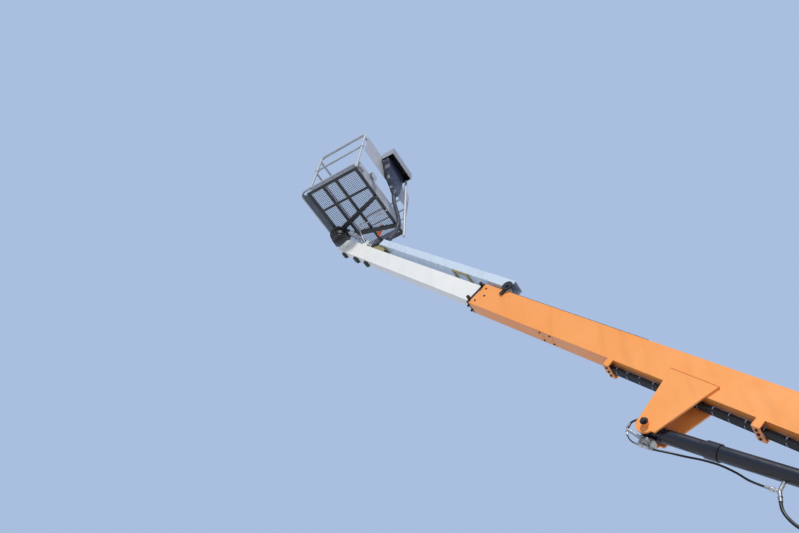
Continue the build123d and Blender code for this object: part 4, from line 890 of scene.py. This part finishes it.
# %% [markdown]
# Welds join the gusset plates and hose guards to the boom, and a fine seam runs round the inner boom
# near its tip. A weld is a row of flattened drops that overlap. Only the runs that can be seen get one,
# each from one named point to the next, on both sides of the boom.

# %% Welds
OUTER_HALF = 75.0
GUSSET_OUT = 89.0
OUTER_LOW = -254.0
FLY_HALF = 56.0
FLY_LOW = -226.0
GUSSET_RUNS = (
    ((2212, GUSSET_OUT, -150), (1838, GUSSET_OUT, -155)),
    ((1838, OUTER_HALF + 4, -155), (1900, OUTER_HALF + 4, OUTER_LOW)),
    ((2212, OUTER_HALF + 4, -150), (2180, OUTER_HALF + 4, OUTER_LOW)),
)
GUARD_EDGES = (2662, 2718, 1472, 1528)
GUARD_LOW = -312
SEAM_PLACES = (3358, 3481)
TIP_SEAM = ((7510, -22), (7642, FLY_LOW))


def make_gusset_welds():
    bm = bmesh.new()
    for first, last in GUSSET_RUNS:
        for side in (1, -1):
            ends = [(s, y * side, t) for s, y, t in (first, last)]
            bead(bm, *ends, 0.0042, 0.006)
    for s in SEAM_PLACES:
        bead(bm, (s, -OUTER_HALF, OUTER_LOW), (s, OUTER_HALF, OUTER_LOW), 0.0028, 0.004)
    for s in GUARD_EDGES:
        for y in (OUTER_HALF + 0.5, -OUTER_HALF - 0.5):
            bead(bm, (s, y, OUTER_LOW), (s, y, GUARD_LOW), 0.0026, 0.004)
    piece = keep(bm, "boom_welds", "main_boom", orange, smooth=60, merge=False)
    return len(piece.data.polygons)


def make_tip_seam():
    bm = bmesh.new()
    for side in (1, -1):
        bead(bm, *[(s, side * FLY_HALF, t) for s, t in TIP_SEAM], 0.0022, 0.003)
    bead(bm, *[(TIP_SEAM[1][0], y, FLY_LOW) for y in (-FLY_HALF, FLY_HALF)], 0.0022, 0.003)
    piece = keep(bm, "tip_seam", "fly", seam_white, smooth=60, merge=False)
    return len(piece.data.polygons)


print("faces in the welds:", make_gusset_welds(), make_tip_seam())

# %% [markdown]
# The pins that the boom turns on end in a dark bolt with a washer, and the hose guards are screwed
# from below. Bolts are drawn with the same helper, each on a matrix whose Z leaves the surface. The
# cable duct on the inner boom is a folded sheet, riveted at even steps along both lower edges.

# %% Bolts and rivets on the boom
GUSSET_PIN = (2087, -604)
GUSSET_PIN_END = 115.0
REAR_PIN_END = 130.0
FRONT_BOLTS = ((4480, -40), (4480, -205), (4420, -122))
GUARD_BOLTS = (2690, 1500)
GUARD_FACE = -316
DUCT_SIDES = (-65.0, 75.0)
RIVET_ROW = 59.0
RIVET_PLACES = range(4280, 6880, 150)
RIVET_RADIUS = 0.0042


def boom_bolt(bm, s, y, t, direction, across, head=0.6):
    seat = boom_at(s, y, t)
    ahead = boom_at(s + direction[0], y + direction[1], t + direction[2])
    bolt(bm, towards(seat.translation, ahead.translation - seat.translation), across, head)


def make_boom_bolts():
    bm = bmesh.new()
    for side in (1, -1):
        boom_bolt(bm, GUSSET_PIN[0], side * GUSSET_PIN_END, GUSSET_PIN[1], (0, side, 0), 0.034, 0.55)
        boom_bolt(bm, 0, side * REAR_PIN_END, 0, (0, side, 0), 0.046, 0.5)
        for s, t in FRONT_BOLTS:
            boom_bolt(bm, s, side * OUTER_HALF, t, (0, side, 0), 0.013)
    for s in GUARD_BOLTS:
        for y in (-44, 0, 44):
            boom_bolt(bm, s, y, GUARD_FACE, (0, 0, -1), 0.014)
    for s in SEAM_PLACES:
        for y in (-50, 50):
            boom_bolt(bm, s + 20, y, OUTER_LOW, (0, 0, -1), 0.012)
    piece = keep(bm, "boom_bolts", "main_boom", black_plastic, smooth=30, merge=False)


def make_duct_rivets():
    bm = bmesh.new()
    for s in RIVET_PLACES:
        for y in DUCT_SIDES:
            outward = 1 if y > 0 else -1
            place = boom_at(s, y, RIVET_ROW).translation
            aim = boom_at(s, y + outward, RIVET_ROW).translation - place
            bmesh.ops.create_uvsphere(bm, u_segments=12, v_segments=6, radius=RIVET_RADIUS,
                                      matrix=towards(place, aim) @ Matrix.Diagonal((1, 1, 0.45, 1)))
    piece = keep(bm, "duct_rivets", "fly", steel, smooth=60, merge=False)


make_boom_bolts()
make_duct_rivets()
print("duct rivets:", len(DUCT_SIDES) * len(RIVET_PLACES))

# %% [markdown]
# The lift cylinder's fittings are placed along the cylinder from its upper pin and down from its axis.
# A hose ends in a crimped steel collar and a nut, both slightly wider than the hose. Two bolts and four
# plugs sit in the face of the valve block, and two rings of weld run round the barrel's upper part.

# %% Cylinder fittings
RAM_TAIL = (-336.0, -238.0)
RAM_BARREL = 50.0
HOSE_ENDS = (
    # start (along, drop, across), the way the hose leaves, hose radius
    ((-150.0, 32.7, 18.0), (-150.0, -20.0, 18.0), 7.5),
    ((-140.7, 57.0, 18.0), (-123.0, 85.5, 18.0), 5.0),
    ((-10.3, 124.0, 18.0), (-50.0, 124.0, 18.0), 5.0),
    ((62.3, 124.0, 18.0), (115.0, 124.0, 18.0), 7.0),
    ((820.7, 115.0, 0.0), (762.0, 115.0, 0.0), 7.0),
    ((880.2, 141.4, 0.0), (920.0, 221.0, 0.0), 10.0),
    ((1455.7, 121.2, 0.0), (1270.0, 252.0, 0.0), 10.0),
)
# each part of a hose end: from, to, how much wider than the hose, sides
HOSE_END_PARTS = ((0, 9, 4.5, 6), (9, 12, 1.5, 20), (12, 34, 2.6, 20))
BLOCK_BOLTS = ((4, 84, 57), (48, 90, 57))
BLOCK_PLUGS = ((-8, 68), (-8, 104), (58, 72), (58, 104))
BLOCK_FACE = 34
# place along the barrel, width and height of each ring of weld
BARREL_WELDS = ((413, 7, 1.6), (96, 9, 2.2))
WELD_DROPS = 40


def ram_at(along, drop, y):
    """A point beside the lift cylinder, in the model's directions."""
    run = Vector((RAM_TAIL[0] - GUSSET_PIN[0], RAM_TAIL[1] - GUSSET_PIN[1])).normalized()
    s = GUSSET_PIN[0] + run.x * along - run.y * drop
    t = GUSSET_PIN[1] + run.y * along + run.x * drop
    return boom_at(s, y, t).translation


def make_hose_ends():
    bm = bmesh.new()
    for start, leaves, radius in HOSE_ENDS:
        seat, ahead = ram_at(*start), ram_at(*leaves)
        way = (ahead - seat).normalized()
        for near, far, grow, sides in HOSE_END_PARTS:
            middle = seat + way * ((near + far) / 2 * MM)
            round_bar(bm, towards(middle, way), (radius + grow) * MM, (far - near) * MM, sides)
    for place in BLOCK_BOLTS:
        bolt(bm, towards(ram_at(*place), (0, 1, 0)), 0.022, 0.5, washer=False)
    for along, drop in BLOCK_PLUGS:
        place = ram_at(along, drop, BLOCK_FACE) + Vector((0, 0.003, 0))
        round_bar(bm, towards(place, (0, 1, 0)), 0.0055, 0.006, 16)
    piece = keep(bm, "hose_ends", "lift_barrel", steel, smooth=32, merge=False)


def make_ram_rings():
    bm = bmesh.new()
    way = (ram_at(1000, 0, 0) - ram_at(0, 0, 0)).normalized()
    for along, width, grow in BARREL_WELDS:
        for k in range(WELD_DROPS):
            turn = Matrix.Rotation(k * math.tau / WELD_DROPS, 4, "Z")
            place = towards(ram_at(along, 0, 0), way) @ turn @ shift(RAM_BARREL * MM, 0, 0)
            bmesh.ops.create_uvsphere(bm, u_segments=8, v_segments=5, radius=width * MM * 0.75,
                                      matrix=place @ Matrix.Diagonal((grow * 0.25, 0.9, 0.7, 1)))
    piece = keep(bm, "barrel_welds", "lift_barrel", cylinder_black, smooth=60, merge=False)
    return len(piece.data.polygons)


make_hose_ends()
print("hose ends:", len(HOSE_ENDS), "faces in the barrel welds:", make_ram_rings())

# %% [markdown]
# Under the basket's floor run a bent grey tube and an orange bracket over the far beam. A pale hose
# hangs in a loop from the tube's end to the boom's tip. It crosses the levelling joint, and rides on
# neither the boom nor the part that keeps the basket level.

# %% Trim under the basket
BENT_TUBE = ((26, 8, -44), (-335, -32, -58), (-362, -12, -64), (-372, 20, -84), (-374, 26, -104))
TIP_HOSE = (
    (-374, 26, -104), (-382, 62, -190), (-352, 78, -350), (-300, 76, -520), (-262, 62, -640),
    (-232, 38, -712),
)
TUBE_STEP = 0.008
BRACKET_ENDS = ((-184, -188, -16), (-360, -323, -16))
BRACKET_WIDTH, BRACKET_DEPTH = 0.056, 0.022


def make_bent_tube():
    points = [on_basket(*point) for point in BENT_TUBE]
    bm = bmesh.new()
    ringed_tube(bm, smooth_line(points, "bent_tube_line"), TUBE_STEP, (0.0095,), 18)
    piece = keep(bm, "bent_tube", "basket", grey, smooth=60)


def make_floor_bracket():
    bm = bmesh.new()
    first, last = (on_basket(*point) for point in BRACKET_ENDS)
    run = last - first
    lie = Matrix.Translation((first + last) / 2) @ run.to_track_quat("X", "Z").to_matrix().to_4x4()
    bar(bm, lie, (run.length, BRACKET_WIDTH, BRACKET_DEPTH), 0.004, 2)
    piece = keep(bm, "floor_bracket", "basket", red_orange, smooth=32)


def make_tip_hose():
    points = [on_basket(*point) for point in TIP_HOSE]
    bm = bmesh.new()
    ringed_tube(bm, smooth_line(points, "tip_hose_line"), TUBE_STEP, (0.0085,), 16)
    bmesh.ops.recalc_face_normals(bm, faces=bm.faces)
    mesh = to_mesh(bm, "tip_hose")
    mesh.shade_smooth()
    mesh.materials.append(pale_hose)
    piece = stand("tip_hose", mesh)
    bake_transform(piece)
    return (points[-1] - points[0]).length


make_bent_tube()
make_floor_bracket()
print("metres between the pale hose's ends:", round(make_tip_hose(), 3))

# %% [markdown]
# The base of the machine stands outside the camera's view, and gets the same care from any side. Every
# riser pin is held by a keeper plate with two bolts. A ring of bolts holds the turret to its bearing,
# the kingpins carry bolted caps, and the doors have a round lock.

# %% Pin keepers and the bolts of the base
LANE_END = 276.0
KEEPERS = {
    # body: along X, up, distance from the middle, lean of the plate in degrees
    "turret": ((-800, 1000, 278, 20),),
    "riser_knuckle": ((850, 1000, LANE_END, 90), (850, 1240, LANE_END, 60)),
    "upright": ((-1000, 1240, LANE_END, 100),),
}
KEEPER_SIZE = (0.075, 0.030, 0.006)
SLEW_BOLTS = 24
SLEW_RING = 375.0
SLEW_FACE = 775
KINGPIN = (1000.0, 610.0, 555.0)
LOCK_PLACE = (160, 950, 975)


def at_base(x, y, z):
    return Vector((x + MACHINE_SHIFT, y, z)) * MM


def make_keepers(body):
    bm = bmesh.new()
    for x, z, y, lean in KEEPERS[body]:
        for side in (1, -1):
            turn = Matrix.Rotation(math.radians(lean), 4, "Z")
            place = towards(at_base(x, side * y, z), (0, side, 0)) @ turn
            round_bar(bm, place @ shift(0, 0, 0.003), 0.030, 0.006, 32)
            bar(bm, place @ shift(0.040, 0, 0.003), KEEPER_SIZE, 0.0015, 1)
            for dx in (0.030, 0.064):
                bolt(bm, place @ shift(dx, 0, 0.006), 0.015, 0.6)
            round_bar(bm, place @ shift(0, 0, 0.011), 0.005, 0.010, 12)
    piece = keep(bm, "pin_keepers_" + body, body, steel, smooth=32, merge=False)


def make_slew_bolts():
    bm = bmesh.new()
    for k in range(SLEW_BOLTS):
        angle = (k + 0.5) * math.tau / SLEW_BOLTS
        place = at_base(SLEW_RING * math.cos(angle), SLEW_RING * math.sin(angle), SLEW_FACE)
        bolt(bm, Matrix.Translation(place), 0.024, 0.62)
    piece = keep(bm, "slew_bolts", "turret", steel, smooth=32, merge=False)


def make_kingpin_caps():
    bm = bmesh.new()
    for side in (1, -1):
        cap = Matrix.Translation(at_base(KINGPIN[0], side * KINGPIN[1], KINGPIN[2]))
        round_bar(bm, cap @ shift(0, 0, 0.004), 0.034, 0.008, 32)
        for k in range(4):
            turn = Matrix.Rotation(math.radians(45 + 90 * k), 4, "Z")
            bolt(bm, cap @ shift(0, 0, 0.008) @ turn @ shift(0.022, 0, 0), 0.010, 0.6, washer=False)
    piece = keep(bm, "kingpin_caps", "chassis", steel, smooth=32, merge=False)


def make_door_locks():
    for side, name in ((1, "left"), (-1, "right")):
        bm = bmesh.new()
        seat = towards(at_base(LOCK_PLACE[0], side * LOCK_PLACE[1], LOCK_PLACE[2]), (0, side, 0))
        round_bar(bm, seat @ shift(0, 0, 0.004), 0.016, 0.008, 28)
        round_bar(bm, seat @ shift(0, 0, 0.010), 0.010, 0.006, 24)
        piece = keep(bm, "door_lock_" + name, "door_" + name, steel, smooth=32, merge=False)


for body in KEEPERS:
    make_keepers(body)
make_slew_bolts()
make_kingpin_caps()
make_door_locks()
print("bodies with keepers:", len(KEEPERS), "slew bolts:", SLEW_BOLTS)

# %% [markdown]
# The pale floor catches the machine's shadow. It belongs to the stage and not to the object.

# %% Floor
FLOOR_HALF = 60.0
FLOOR_TONES = ((0.78, 0.79, 0.80, 1), (0.83, 0.84, 0.85, 1))
FLOOR_ROUGHNESS = 0.9


def make_floor():
    bm = bmesh.new()
    bmesh.ops.create_grid(bm, x_segments=1, y_segments=1, size=FLOOR_HALF)
    mesh = to_mesh(bm, "floor")
    material, tree, shader = start_finish("floor_pale")
    tone = blend_colour(tree, cloud(tree, 0.4, 0.3, 0.7), *FLOOR_TONES)
    tree.links.new(tone, shader.inputs["Base Color"])
    shader.inputs["Roughness"].default_value = FLOOR_ROUGHNESS
    mesh.materials.append(material)
    floor = stand("floor", mesh)


make_floor()
print("floor width:", 2 * FLOOR_HALF, "m")
